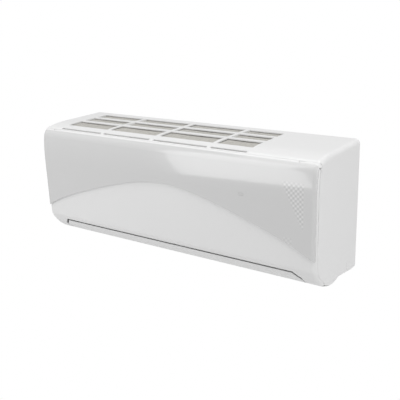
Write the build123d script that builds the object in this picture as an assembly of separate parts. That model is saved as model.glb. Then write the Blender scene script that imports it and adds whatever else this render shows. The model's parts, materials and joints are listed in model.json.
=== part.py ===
"""Wall-hung indoor unit of a split air conditioner, one solid group per real piece.

Frame: origin at the centre of the wall plate's back face, +X to the right as
seen from the room, +Y into the wall, +Z up. Sizes are in millimetres, and the
side sections are drawn in (Y, Z).
"""
from build123d import *
import math
import os

os.makedirs("parts", exist_ok=True)

# ---- Cabinet ----
WIDTH = 715.0
HEIGHT = 280.0
DEPTH = 196.0
SKIN = 2.5
EDGE_R = 10.0
SEAM = 0.5
SEAT = 0.3
HALF_W = WIDTH / 2
WIDE = (-WIDTH, WIDTH)
TOP = HEIGHT / 2
BOTTOM = TOP - HEIGHT

# Upper front: three arcs that turn the flat top into the flat front
CROWN_R = 255.0
CORNER_R = 25.5
BROW_R = 310.0
CROWN_END = 11.0
CORNER_END = 80.0

# Lower front: the fascia stands proud of the panel, and a belly arc runs under
FASCIA_STEP = 4.0
BELLY_R = 98.0
BELLY_PROUD = 9.0
BELLY_LIFT = 5.0
BELLY_C = (BELLY_R - BELLY_PROUD - DEPTH + FASCIA_STEP, BOTTOM + BELLY_LIFT + BELLY_R)
BELLY_BLEND = 15.0
BOTTOM_BLEND = 12.0
BOTTOM_RISE_Y = BELLY_C[0] + 24.0
BOTTOM_RISE = 9.0
BOTTOM_STEP_Y = -36.0
BOTTOM_STEP = 3.5
BOTTOM_FLAT_Y = -14.0

# Panel, its seam with the ends and its hinge bead
RIM_DEPTH = 7.0
SEAM_ANGLE = 38.0
BEAD_R = 4.0
BEAD_POCKET = 1.0
LUG_X = 320.0
LUG_W = 10.0
LUG_R = 3.6
HINGE_PIN_R = 1.6
PIN_FIT = 0.05
WRAP_END_Y = 46.0 - DEPTH
FASCIA_END = 355.0
ARCH_TOP = 48.7
ARCH_POINTS = ((100.0, 35.5), (200.0, 7.0), (300.0, -28.5), (362.0, -60.0))
LENS_X = 198.0
LENS_Z = 55.0
LENS_W = 12.0
LENS_H = 5.0

# Intake grille in the top: window rows (Y) and bays (X)
GRILLE_ROWS = ((-54.0, -21.5), (-98.0, -64.5), (44.0 - DEPTH, -109.5), (19.5 - DEPTH, 25.0 - DEPTH))
GRILLE_BAYS = ((-305.0, -182.0), (-174.0, -42.0), (-32.0, 106.0), (115.0, 200.0))

# Air path: everything inside keeps its place behind the front and above the bottom
FAN_C = (102.0 - DEPTH, BOTTOM + 148.0)
FAN_R = 42.0
FAN_LEFT = -296.0
FAN_RIGHT = 232.0
BLADES = 35
BLADE_T = 1.3
BLADE_INNER_R = 33.0
FAN_DISC_PITCH = 66.0
FAN_DISC_T = 2.0
SHAFT_R = 4.0
SHAFT_FIT = 0.05
PRESS_FIT = 0.02
CHAMBER_LEFT = -306.0
CHAMBER_RIGHT = 238.0
WALL = 3.0
SHEET = 2.5
GUIDE_R = 138.5
GUIDE_CLEAR = 7.5
GUIDE_TOP = 72.5
GUIDE_FOOT = (BELLY_C[0] - 4.57, BOTTOM + 14.14)
OUTLET_HALF = 319.5
LIP_IN = 8.41
LIP_ANGLE = 123.16
THROAT = (FAN_C[0] - 45.5, FAN_C[1] - 59.0)
SILL_Y = BELLY_C[0] - 10.5
FLOOR_Z = BOTTOM + BELLY_LIFT + SKIN + 0.2

# Louver
LOUVER_HALF = 318.0
LOUVER_T = 3.5
LOUVER_TOP_ANGLE = 123.5
LOUVER_END_ANGLE = 170.5
LOUVER_PIN_IN = 18.395
LOUVER_PIN_ANGLE = 153.113
LOUVER_ARM = 3.0
LOUVER_CHAMFER = 15.0
LOUVER_PIN_R = 3.0
LOUVER_TOP_Z = BELLY_C[1] + BELLY_R * math.cos(math.radians(LOUVER_TOP_ANGLE))
PANEL_EDGE_Z = LOUVER_TOP_Z + 4.3
PANEL_CUT_HALF = 321.0

# Vertical vanes
VANE_ANGLE = 134.0
VANE_PITCH = 52.0
VANE_GROUP_X = (-168.0, 103.0)
VANES_PER_GROUP = 5
VANE_T = 1.6
VANE_BACK = 28.0
VANE_FRONT = 5.0
VANE_BASE = 1.0
VANE_TOP = 62.0
VANE_PIN_R = 1.6
CARRIER_H = 5.0
CARRIER_W = 10.0
LINK_AT = 24.0
LINK_HEIGHT = 30.0
LINK_T = 3.0
LINK_PIN_R = 1.2
LINK_PLAY = 0.6
VANE_SWING = 35.0

# Evaporator
COIL_LEFT = -300.0
COIL_RIGHT = 234.0
COIL_T = 26.0
COIL_PLATE_T = 2.0
LOWER_COIL_L = 94.0
UPPER_COIL_ANGLE = 43.0
UPPER_COIL_GAP = 3.56
COIL_TIP_GAP = (1.155, 0.465)
TUBE_PITCH = 23.5
TUBE_ROW = 13.0
TUBE_R = 3.5

# Refrigerant pipes
LIQUID_R = 3.175
SUCTION_R = 4.76
PIPE_DOWN_X = 262.0
PIPE_END_X = 60.0
PIPE_WALL = 0.8
LIQUID_ROW = -1
LIQUID_LOW = BOTTOM + 26.0
SUCTION_ROW = 1
SUCTION_LOW = BOTTOM + 52.0
PIPE_BEND = 14.0
LIQUID_THREAD_R = 5.556
LIQUID_FLATS = 17.0
SUCTION_THREAD_R = 7.938
SUCTION_FLATS = 22.0
UNION_L = 14.0
UNION_HEX_L = 12.0
UNION_NOSE_L = 3.0
UNION_SOCKET = 8.0
PIPE_EXIT_X = (-60.0, 50.0)
PIPE_EXIT_Z = (BOTTOM + 13.0, BOTTOM + 63.0)

# Drain pan
PAN_BACK = FAN_C[0] - FAN_R - 2.5
PAN_BOTTOM = BOTTOM + 92.0
PAN_H = 20.0
PAN_TOP = PAN_BOTTOM + PAN_H
SPOUT_Z = PAN_BOTTOM + 8.5
SPOUT_R = 7.5
SPOUT_BORE_R = 5.5
SPOUT_L = 16.0
ELBOW_W = 19.0
ELBOW_L = 24.0

# Motor and electrical box
MOTOR_R = 38.0
MOTOR_LEFT = 246.0
MOTOR_RIGHT = 298.0
MOTOR_BOSS_R = 16.0
BOX_LEFT = 262.0
BOX_RIGHT = 352.0
BOX_DEPTH = 38.0
BOX_BOTTOM = BOTTOM + 96.0
BOX_TOP = TOP - 28.0
BOX_WALL = 2.0
COVER_T = 1.7
BUTTON_X = 300.0
BUTTON_Z = BOX_BOTTOM + 64.0
BUTTON_R = 4.0
BUTTON_TRAVEL = 1.5

# Filters
FILTER_BACK = -22.0
FILTER_Z = TOP - 10.7
FILTER_Y = 16.0 - DEPTH
FILTER_FOOT = BOTTOM + 120.0
FILTER_BEND = 45.0
FILTER_FRAME_T = 2.4
FILTER_MESH_T = 0.5
RIB_FOOT_Z = FILTER_Z + FILTER_FRAME_T / 2 + SEAT
FILTER_LEFT = (-304.9, -38.7)
FILTER_RIGHT = (-35.3, 200.3)
GUIDE_X = (-307.9, -38.3, 200.7)
GUIDE_T = 2.6

# Wall plate and chassis
BACK_SHEET_Y = -10.0
BACK_SHEET_T = 2.5
RIM_T = 3.0
CHASSIS_HALF = HALF_W - SKIN - SEAT
PLATE_T = 1.2
PLATE_HALF = 285.0
PLATE_BOTTOM = -70.0
PLATE_TOP = 100.0
SCREW_SPAN_X = 480.0
SCREW_SPAN_Z = 100.0
SCREW_HOLE_R = 2.6
HOOK_X = 180.0
HOOK_W = 24.0
HOOK_Z = 86.0
HOOK_T = 3.0
HOOK_LIP_T = 1.5

# Small parts
LENS_GAP = 0.2
GLUE = 0.2
DISPLAY_FRONT = FASCIA_STEP + SKIN + SEAT - DEPTH
DISPLAY_T = 4.7
RAIL_T = 3.0
RAIL_FRONT = FASCIA_STEP + SKIN + RAIL_T - DEPTH
RAIL_H = 24.0
CASING_SCREW_X = (-230.0, 0.0, 230.0)
CASING_SCREW_UP = 14.0
CASING_SCREW_R = 1.6
SCREW_FIT = 0.1
LOUVER_MOTOR_R = 13.0
LOUVER_MOTOR_L = 17.0
WING_TOP = 75.0
TROUGH_GAP = 0.17
TROUGH_Z = (FAN_C[1] + 16.0, FAN_C[1] + 16.0 + SHEET)
COIL_REST_X = (-280.0, -33.0, 214.0)
BLADE_MID_R = 37.3
BLADE_L = 10.4
HUB_R = 11.0
HUB_L = 24.0
BEARING_R = 14.0
SADDLE_X = (299.0, 305.0)
CLAMP_SCREW_Y = (FAN_C[0] - 21.5, FAN_C[0] + 21.5)
CARRIER_LIFT = 0.3
LINK_CLEAR = 17.5
CLAMP_X = (170.0, 182.0)
BOARD_LIFT = 5.4
BOARD_T = 1.6
SWITCH_DROP = 3.8
TERMINAL_X = (284.0, 295.0, 306.0, 317.0, 328.0)


# ---- Drawing helpers ----
def on_arc(center, radius, degrees):
    """Side-section point, its angle taken from straight up towards the front."""
    angle = math.radians(degrees)
    return (center[0] - radius * math.sin(angle), center[1] + radius * math.cos(angle))


def along_x(face, x_start, x_end):
    """Push a side section out along X."""
    solid = extrude(Plane.YZ * face, amount=x_end - x_start, dir=(1, 0, 0))
    return Pos(x_start, 0, 0) * solid


def along_y(face, y_start, y_end):
    """Push a front section, drawn in (X, Z), out along Y."""
    solid = extrude(Plane.XZ * face, amount=y_end - y_start, dir=(0, 1, 0))
    return Pos(0, y_start, 0) * solid


def block(x_range, y_range, z_range):
    """Box between three pairs of limits."""
    spans = (x_range, y_range, z_range)
    middle = [(low + high) / 2 for low, high in spans]
    return Pos(*middle) * Box(*[high - low for low, high in spans])


def polygon(*points):
    """Closed face through points."""
    return make_face(Polyline(*points, close=True))


def rod_x(center, radius, x_start, x_end):
    """Cylinder along X about a side-section point."""
    return along_x(Pos(*center) * Circle(radius), x_start, x_end)


def rod_y(x, z, radius, y_start, y_end):
    """Cylinder along Y."""
    return along_y(Pos(x, z) * Circle(radius), y_start, y_end)


def arc_band(center, r_inner, r_outer, start, end):
    """Side section of a bent sheet between two angles."""
    middle = (start + end) / 2
    edges = [
        ThreePointArc(*[on_arc(center, r_outer, a) for a in (start, middle, end)]),
        Line(on_arc(center, r_outer, end), on_arc(center, r_inner, end)),
        ThreePointArc(*[on_arc(center, r_inner, a) for a in (end, middle, start)]),
        Line(on_arc(center, r_inner, start), on_arc(center, r_outer, start)),
    ]
    return make_face(edges)


def plate(start, end, thickness):
    """Side section of a straight sheet, its thickness to the right of its run."""
    run = (end[0] - start[0], end[1] - start[1])
    length = math.hypot(*run)
    side = (run[1] / length * thickness, -run[0] / length * thickness)
    return polygon(start, end, (end[0] + side[0], end[1] + side[1]), (start[0] + side[0], start[1] + side[1]))


def both_sides(shape):
    """A shape and its mirror across the middle of the unit."""
    return [shape, mirror(shape, about=Plane.YZ)]


def save(shape, name):
    """Write one piece, or one group of equal pieces, as its node."""
    if isinstance(shape, (list, tuple)):
        shape = Compound(children=[solid for item in shape for solid in item.solids()])
    export_step(shape, f"parts/{name}.step")
    print(name, len(shape.solids()), [round(v, 1) for v in shape.bounding_box().size])


# ---- Cabinet outline ----
def crown_run():
    """Depth that the three upper arcs take up."""
    crown = CROWN_R * math.sin(math.radians(CROWN_END))
    corner = CORNER_R * (math.sin(math.radians(CORNER_END)) - math.sin(math.radians(CROWN_END)))
    brow = BROW_R * (1 - math.sin(math.radians(CORNER_END)))
    return crown + corner + brow


CROWN_C = (crown_run() - DEPTH, TOP - CROWN_R)
CORNER_C = on_arc(CROWN_C, CROWN_R - CORNER_R, CROWN_END)
BROW_C = on_arc(CORNER_C, CORNER_R - BROW_R, CORNER_END)
HINGE = on_arc(CORNER_C, CORNER_R - BEAD_R, SEAM_ANGLE)

# Outlet: its lip and the louver's pins lie inside the belly arc
LIP = on_arc(BELLY_C, BELLY_R - LIP_IN, LIP_ANGLE)
LOUVER_C = on_arc(BELLY_C, BELLY_R - LOUVER_PIN_IN, LOUVER_PIN_ANGLE)
RAIL_LOW = LIP[1] + 2.0
CASING_SCREW_Z = RAIL_LOW + CASING_SCREW_UP
PAN_FRONT = LIP[0]
BOX_FRONT = LIP[0]
BOX_BACK = BOX_FRONT + BOX_DEPTH
BOARD_BACK = BOX_BACK - BOARD_LIFT
BUTTON_SWITCH_Y = BOX_FRONT + SWITCH_DROP


# Rear guide: it clears the fan and ends at its foot
GUIDE_Y = FAN_C[0] + FAN_R + GUIDE_CLEAR - GUIDE_R
GUIDE_C = (GUIDE_Y, GUIDE_FOOT[1] + math.sqrt(GUIDE_R ** 2 - (GUIDE_FOOT[0] - GUIDE_Y) ** 2))
GUIDE_END = math.degrees(math.acos((GUIDE_FOOT[1] - GUIDE_C[1]) / GUIDE_R))
GUIDE_BACK = math.sqrt((GUIDE_R + SHEET / 2) ** 2 - (TROUGH_Z[0] - GUIDE_C[1]) ** 2)
TROUGH_FRONT = GUIDE_C[0] + GUIDE_BACK + TROUGH_GAP


def upper_coil_length():
    """Length that takes the upper fin pack from its foot to the filter."""
    slope = math.radians(UPPER_COIL_ANGLE)
    return (FILTER_Z - UPPER_COIL_GAP - COIL_T * math.cos(slope) - UPPER_FOOT[1]) / math.sin(slope)


# Fin packs: inner corner, angle and length; the rear one ends behind the upper one's tip
LOWER_COIL = ((PAN_BACK - 7.5, PAN_BOTTOM + 12.0), 90.0, LOWER_COIL_L)
UPPER_FOOT = (PAN_BACK - 11.5, LOWER_COIL[0][1] + LOWER_COIL_L + SEAT)
UPPER_COIL = (UPPER_FOOT, UPPER_COIL_ANGLE, upper_coil_length())
UPPER_TIP = on_arc(UPPER_FOOT, UPPER_COIL[2], UPPER_COIL_ANGLE - 90)
REAR_FOOT = (FAN_C[0] + 55.6, FAN_C[1] + 28.2)
REAR_RUN = (UPPER_TIP[0] + COIL_TIP_GAP[0] - REAR_FOOT[0], UPPER_TIP[1] + COIL_TIP_GAP[1] - REAR_FOOT[1])
REAR_COIL = (REAR_FOOT, math.degrees(math.atan2(REAR_RUN[1], REAR_RUN[0])), math.hypot(*REAR_RUN))


def cabinet_face(inset, back=0.0):
    """Side section of the cabinet with every outer surface moved in by inset."""
    arcs = ((CROWN_C, CROWN_R, 0, CROWN_END), (CORNER_C, CORNER_R, CROWN_END, CORNER_END),
            (BROW_C, BROW_R, CORNER_END, 90))
    edges = [Line((back, TOP - inset), on_arc(CROWN_C, CROWN_R - inset, 0))]
    for center, radius, start, end in arcs:
        angles = (start, (start + end) / 2, end)
        edges.append(ThreePointArc(*[on_arc(center, radius - inset, a) for a in angles]))
    front = on_arc(BROW_C, BROW_R - inset, 90)
    lift = inset - FASCIA_STEP
    belly_r = BELLY_R - lift
    drop = math.sqrt(belly_r ** 2 - (front[0] - BELLY_C[0]) ** 2)
    knee = (front[0], BELLY_C[1] - drop)
    knee_angle = 90 + math.degrees(math.atan2(drop, BELLY_C[0] - front[0]))
    low = on_arc(BELLY_C, belly_r, 180)
    rise = (BOTTOM_RISE_Y, BOTTOM + BOTTOM_RISE + lift)
    step = (BOTTOM_STEP_Y, BOTTOM + BOTTOM_STEP + lift)
    flat = (BOTTOM_FLAT_Y, BOTTOM + lift)
    edges.append(Line(front, knee))
    edges.append(ThreePointArc(knee, on_arc(BELLY_C, belly_r, (knee_angle + 180) / 2), low))
    edges.append(Polyline(low, rise, step, flat, (back, BOTTOM + lift), (back, TOP - inset)))
    face = make_face(edges)
    for corner, radius in ((knee, BELLY_BLEND), (low, BOTTOM_BLEND), (rise, BOTTOM_BLEND),
                           (step, BOTTOM_BLEND), (flat, BOTTOM_BLEND)):
        near = [v for v in face.vertices() if math.hypot(v.X - corner[0], v.Y - corner[1]) < 0.01]
        face = fillet(near, radius)
    return face


def rounded_hull(inset, half_width, edge_r, back=0.0):
    """Solid cabinet body whose end edges are rounded."""
    hull = along_x(cabinet_face(inset, back), -half_width, half_width)
    edges = [e for e in hull.edges()
             if abs(abs(e.center().X) - half_width) < 0.01 and e.center().Y < back - 1]
    return fillet(edges, edge_r)


def panel_zone(gap):
    """Side section of the space that the panel may fill, in front of the casing."""
    hinge_y = HINGE[0] - gap
    wrap_y = WRAP_END_Y - gap
    ahead, above, below = -DEPTH - 34, TOP + 10, BOTTOM - 10
    return polygon((hinge_y, above), (ahead, above), (ahead, below), (wrap_y, below), (wrap_y, BOTTOM + 40),
                   (wrap_y - 15, BOTTOM + 80), (hinge_y, BOTTOM + 200))


# ---- Casing ----
def casing_shell():
    """Top skin and both end walls, open at the front, the bottom and the back."""
    inner = rounded_hull(SKIN, HALF_W - SKIN, EDGE_R - SKIN, 5)
    split = BOTTOM + 120
    upper = (rounded_hull(0, HALF_W, EDGE_R) & block(WIDE, (-2 * DEPTH, 50), (split, 2 * TOP))) - inner
    lower = rounded_hull(FASCIA_STEP, HALF_W, EDGE_R) & block(WIDE, (-2 * DEPTH, 50), (2 * BOTTOM, split))
    shell = upper + lower - block((SKIN - HALF_W, HALF_W - SKIN), (-2 * DEPTH, 10), (2 * BOTTOM, split + 60))
    front = panel_zone(0) - cabinet_face(FASCIA_STEP + RIM_DEPTH)
    shell -= along_x(front, *WIDE)
    return shell - rod_x(HINGE, BEAD_R + BEAD_POCKET, *WIDE)


def hinge_lug(x):
    """Ear under the top skin that holds one pin of the panel."""
    web = polygon((-1, 3.2), (0.4, -3.4), (7.4, 1.3), (11.4, 5.8), (11.4, 8), (7.4, 7.5), (2.9, 5.8))
    web = Pos(*HINGE) * web
    ear = (Pos(*HINGE) * Circle(LUG_R)) + web
    ear -= Pos(*HINGE) * Circle(HINGE_PIN_R + PIN_FIT)
    return along_x(ear, x - LUG_W / 2, x + LUG_W / 2)


def casing_top(shell):
    """Top skin with the intake grille, two ribs that hold the filters down, and hinge ears."""
    flank = HALF_W - EDGE_R
    top = shell & block((-flank, flank), (-300, 10), (0, 200))
    for row in GRILLE_ROWS:
        for bay in GRILLE_BAYS:
            top -= block(bay, row, (TOP - 40, TOP + 10))
    back, front = GRILLE_ROWS[0][1] + 1, GRILLE_ROWS[1][0]
    for index in (0, 2):
        rib_x = (GRILLE_BAYS[index][1], GRILLE_BAYS[index + 1][0])
        top += block(rib_x, (front, back), (RIB_FOOT_Z, TOP - SKIN + 1))
    for ear in both_sides(hinge_lug(LUG_X)):
        top += ear
    return top


def casing_end(shell, side):
    """End wall with its rounded rim; side is +1 for the right."""
    flank = HALF_W - EDGE_R
    zone = block((flank, 400), (-300, 10), (-200, 200))
    if side < 0:
        zone = mirror(zone, about=Plane.YZ)
    end = shell & zone
    if side > 0:
        groove = arc_band((-2.0, BOTTOM + 28), 43.4, 44.4, 88, 139)
        end -= along_x(groove, HALF_W - 0.8, HALF_W + 1)
    return end


def front_rail():
    """Rail between the ends, above the outlet, with bosses for the casing screws."""
    back = RAIL_FRONT + RAIL_T
    rail = block((-CHASSIS_HALF, CHASSIS_HALF), (RAIL_FRONT, back), (RAIL_LOW, RAIL_LOW + RAIL_H))
    for x in CASING_SCREW_X:
        rail += rod_y(x, CASING_SCREW_Z, 2.5 * CASING_SCREW_R, back, LIP[0] - SEAT)
        rail -= rod_y(x, CASING_SCREW_Z, CASING_SCREW_R + SCREW_FIT, RAIL_FRONT - 5, LIP[0] + 5)
    front = FASCIA_STEP + SKIN + SEAT
    return rail & rounded_hull(front, CHASSIS_HALF, EDGE_R - SKIN - SEAT)


def casing_screws():
    """Screws that hold the rail, heads towards the room."""
    screws = []
    for x in CASING_SCREW_X:
        head = rod_y(x, CASING_SCREW_Z, 2 * CASING_SCREW_R, RAIL_FRONT - 1.9, RAIL_FRONT)
        screws.append(head + rod_y(x, CASING_SCREW_Z, CASING_SCREW_R, RAIL_FRONT - 0.5, LIP[0] - 0.5))
    return screws


# ---- Filters ----
def filter_band(outer, inner, foot=FILTER_FOOT, back=FILTER_BACK):
    """Side section of a bent strip that follows the filter, between two offsets."""
    bend = (FILTER_Y + FILTER_BEND, FILTER_Z - FILTER_BEND)
    far, near = FILTER_BEND + outer, FILTER_BEND - inner
    edges = [
        Line((back, bend[1] + far), on_arc(bend, far, 0)),
        ThreePointArc(*[on_arc(bend, far, a) for a in (0, 45, 90)]),
        Line(on_arc(bend, far, 90), (bend[0] - far, foot)),
        Line((bend[0] - far, foot), (bend[0] - near, foot)),
        Line((bend[0] - near, foot), on_arc(bend, near, 90)),
        ThreePointArc(*[on_arc(bend, near, a) for a in (90, 45, 0)]),
        Line(on_arc(bend, near, 0), (back, bend[1] + near)),
        Line((back, bend[1] + near), (back, bend[1] + far)),
    ]
    return make_face(edges)


def filter_frame(x_range):
    """Bent plastic frame with a grid of windows."""
    half = FILTER_FRAME_T / 2
    frame = along_x(filter_band(half, half), *x_range)
    columns, bar = 4, 4.0
    pitch = (x_range[1] - x_range[0] - bar) / columns
    for column in range(columns):
        left = x_range[0] + bar + column * pitch
        cell = (left, left + pitch - bar)
        for start in (FILTER_BACK - 40, FILTER_BACK - 84, FILTER_BACK - 128):
            frame -= block(cell, (start, start + 40), (FILTER_Z - 20, FILTER_Z + 20))
        for start in (FILTER_FOOT + 6, FILTER_FOOT + 56):
            frame -= block(cell, (FILTER_Y - 20, FILTER_Y + 10), (start, start + 45))
    return frame


def filter_mesh(x_range):
    """Fine mesh under the frame, kept as one thin sheet."""
    under = FILTER_FRAME_T / 2 + 0.1
    sheet = filter_band(-under, under + FILTER_MESH_T, FILTER_FOOT + 1, FILTER_BACK - 1)
    return along_x(sheet, x_range[0] + 1, x_range[1] - 1)


def filter_guides():
    """Three bent rails beside the filters, from the casing top down to the front rail."""
    rails = []
    for x in GUIDE_X:
        band = along_x(filter_band(3, 3), x, x + GUIDE_T)
        band += block((x, x + GUIDE_T), (-130, FILTER_BACK), (FILTER_Z, TOP - SKIN - SEAT))
        foot_y = (RAIL_FRONT + RAIL_T + 0.2, LIP[0] - SEAT)
        band += block((x, x + GUIDE_T), foot_y, (RAIL_LOW + RAIL_H - 2, FILTER_FOOT + 1))
        rails.append(band)
    return rails


# ---- Front panel ----
def arch_prism():
    """Front view of the fascia above its arched lower edge."""
    right = [Vector(x, z) for x, z in ARCH_POINTS]
    left = [Vector(-x, z) for x, z in reversed(ARCH_POINTS)]
    arch = Spline(*left, Vector(0, ARCH_TOP), *right)
    end_x, end_z = ARCH_POINTS[-1]
    frame = Polyline((end_x, end_z), (end_x, 200), (-end_x, 200), (-end_x, end_z))
    return along_y(make_face([arch, frame]), -230, -150)


def louver_window(half, top):
    """Front view of the louver's place, with its two cut corners."""
    inner, low = half - LOUVER_CHAMFER, top - LOUVER_CHAMFER
    below = BOTTOM - 20
    return polygon((-inner, top), (inner, top), (half, low), (half, below), (-half, below), (-half, low))


def lens_slot(gap):
    """Rounded slot for the indicator, drawn in the front view."""
    return Pos(LENS_X, LENS_Z) * SlotOverall(LENS_W + 2 * gap, LENS_H + 2 * gap)


def front_panel():
    """White panel that wraps round the ends and the lower corners, with its hinge bead."""
    panel = rounded_hull(FASCIA_STEP, HALF_W, EDGE_R)
    panel -= rounded_hull(FASCIA_STEP + SKIN, HALF_W - SKIN, EDGE_R - SKIN, 5)
    panel &= along_x(panel_zone(SEAT) - cabinet_face(FASCIA_STEP + RIM_DEPTH - SEAM), *WIDE)
    panel += rod_x(HINGE, BEAD_R, -HALF_W, HALF_W) & rounded_hull(0, HALF_W, EDGE_R)
    panel -= along_y(louver_window(PANEL_CUT_HALF, PANEL_EDGE_Z), -230, -100)
    panel -= along_y(lens_slot(LENS_GAP), -230, -150)
    for side in (-1, 1):
        ends = (side * LUG_X - LUG_W / 2 - SEAM, side * LUG_X + LUG_W / 2 + SEAM)
        panel -= rod_x(HINGE, BEAD_R + BEAD_POCKET, *ends)
        panel += rod_x(HINGE, HINGE_PIN_R, ends[0] - 1, ends[1] + 1)
    return panel


def panel_fascia():
    """Glossy sheet with an arched lower edge, bonded to the panel."""
    sheet = rounded_hull(0, HALF_W, EDGE_R) - rounded_hull(FASCIA_STEP - GLUE, HALF_W, EDGE_R, 5)
    far = -DEPTH - 64
    front = polygon(CORNER_C, on_arc(CORNER_C, 60, SEAM_ANGLE), (far, 180), (far, -100), (CORNER_C[0], -100))
    sheet &= along_x(front, -FASCIA_END, FASCIA_END)
    sheet -= rod_x(HINGE, BEAD_R + SEAT, *WIDE)
    sheet &= arch_prism()
    return sheet - along_y(lens_slot(LENS_GAP), -230, -150)


def indicator_lens():
    """Clear window for the lamps and the remote's receiver."""
    return along_y(lens_slot(0), -DEPTH + 0.1, DISPLAY_FRONT - GLUE)


def display_board():
    """Lamp and receiver board in its case on the back of the panel."""
    back = DISPLAY_FRONT + DISPLAY_T
    case = block((LENS_X - 18, LENS_X + 18), (DISPLAY_FRONT, back), (LENS_Z - 10, LENS_Z + 10))
    for x in (LENS_X - 9, LENS_X + 9):
        case += rod_y(x, LENS_Z, 2.5, back, back + 1)
    return case


# ---- Louver ----
def louver():
    """Curved flap with an arm and a pin at each end."""
    section = arc_band(BELLY_C, BELLY_R - LOUVER_T, BELLY_R, LOUVER_TOP_ANGLE, LOUVER_END_ANGLE)
    flap = along_x(section, -LOUVER_HALF, LOUVER_HALF)
    flap &= along_y(louver_window(LOUVER_HALF, LOUVER_TOP_Z), -230, -90)
    root = BELLY_R - LOUVER_T + 0.5
    arm = polygon(on_arc(BELLY_C, root, 140), on_arc(BELLY_C, root, 158),
                  (LOUVER_C[0] + 5, LOUVER_C[1] - 2), (LOUVER_C[0] - 2, LOUVER_C[1] + 5))
    arm += Pos(*LOUVER_C) * Circle(LOUVER_PIN_R + 3)
    parts = both_sides(along_x(arm, LOUVER_HALF - LOUVER_ARM, LOUVER_HALF))
    parts += both_sides(rod_x(LOUVER_C, LOUVER_PIN_R, LOUVER_HALF - 1, OUTLET_HALF + WALL))
    for part in parts:
        flap += part
    return flap


def louver_motor():
    """Small geared motor on the right outlet wall, in line with the louver's pin."""
    start = OUTLET_HALF + WALL + SEAT
    body = rod_x(LOUVER_C, LOUVER_MOTOR_R, start, start + LOUVER_MOTOR_L)
    ear_z = (LOUVER_C[1], LOUVER_C[1] + LOUVER_MOTOR_R + 6)
    return body + block((start, start + 1.5), (LOUVER_C[0] - 5, LOUVER_C[0] + 5), ear_z)


# ---- Air path ----
def in_flow(along, across):
    """Side-section point from the vanes' pivot line, along the flow and off the rear guide."""
    angle = math.radians(VANE_ANGLE)
    base = on_arc(GUIDE_C, GUIDE_R - SHEET / 2, -VANE_ANGLE)
    y = base[0] + along * math.cos(angle) - across * math.sin(angle)
    z = base[1] - along * math.sin(angle) - across * math.cos(angle)
    return (y, z)


def flow_box(along, across):
    """Side section of a rectangle in the flow's own directions."""
    return polygon(in_flow(along[0], across[0]), in_flow(along[1], across[0]),
                   in_flow(along[1], across[1]), in_flow(along[0], across[1]))


def flow_rod(x, along, radius, across):
    """Cylinder along the vanes' pivot direction."""
    foot = in_flow(along, across[0])
    angle = math.radians(VANE_ANGLE)
    axis = Plane(origin=(x, foot[0], foot[1]), x_dir=(1, 0, 0),
                 z_dir=(0, -math.sin(angle), -math.cos(angle)))
    return extrude(axis * Circle(radius), amount=across[1] - across[0])


def guide_band(start, end):
    """Side section of the bent rear guide between two angles."""
    return arc_band(GUIDE_C, GUIDE_R - SHEET / 2, GUIDE_R + SHEET / 2, -start, -end)


def rear_air_guide():
    """Scroll behind the fan, with the wing walls beside the fan chamber."""
    guide = along_x(guide_band(GUIDE_TOP, GUIDE_END), CHAMBER_LEFT, CHAMBER_RIGHT)
    guide += along_x(guide_band(VANE_ANGLE + 0.5, GUIDE_END), -OUTLET_HALF, OUTLET_HALF)
    end = on_arc(GUIDE_C, GUIDE_R, -GUIDE_END)
    foot = polygon(end, (end[0] + 3, end[1] + 1.5), (end[0] + 3, FLOOR_Z + SEAT), (end[0], FLOOR_Z + SEAT))
    guide += along_x(foot, -OUTLET_HALF, OUTLET_HALF)
    wing = flow_box((1.2, 3.7), (-1, WING_TOP))
    guide += along_x(wing, CHAMBER_RIGHT + WALL, OUTLET_HALF)
    guide += along_x(wing, -OUTLET_HALF, CHAMBER_LEFT - WALL)
    return guide


def front_air_guide():
    """Upper wall of the outlet, with the web that carries the drain pan."""
    section = plate(THROAT, LIP, SHEET)
    section += polygon((LIP[0], LIP[1]), (LIP[0] + SHEET, LIP[1] + SHEET),
                       (LIP[0] + SHEET, PAN_BOTTOM - SEAT), (LIP[0], PAN_BOTTOM - SEAT))
    return along_x(section, -OUTLET_HALF, OUTLET_HALF)


def bulkhead(x_start, hole_r):
    """Side wall of the fan chamber with a round seat on the fan's axis."""
    y, z = FAN_C
    front = PAN_BACK + 0.5
    section = polygon((BACK_SHEET_Y, z + 22), (BACK_SHEET_Y, z - 66), (y + 39, z - 66), in_flow(0.7, 0),
                      in_flow(0.7, 72), (front, PAN_BOTTOM - SEAT), (front, z + 12), (y - 20, z + 38),
                      (y + 20, z + 38), (y + 44, z + 22))
    section -= Pos(*FAN_C) * Circle(hole_r)
    return along_x(section, x_start, x_start + WALL)


def outlet_end():
    """Right end wall of the outlet, with the bore for the louver's pin."""
    front = [on_arc(BELLY_C, BELLY_R - 6.5, a) for a in (172, 148, 125)]
    y, low = BELLY_C[0], FLOOR_Z + 1
    walls = Polyline(front[2], (LIP[0], LIP[1] - SEAT), in_flow(2, 74), in_flow(2, 0.3),
                     (y + 9, low + 14.3), (y - 4, low), (y - 9, low), front[0])
    section = make_face([walls, ThreePointArc(*front)])
    section -= Pos(*LOUVER_C) * Circle(LOUVER_PIN_R + PIN_FIT)
    return along_x(section, OUTLET_HALF, OUTLET_HALF + WALL)


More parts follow.
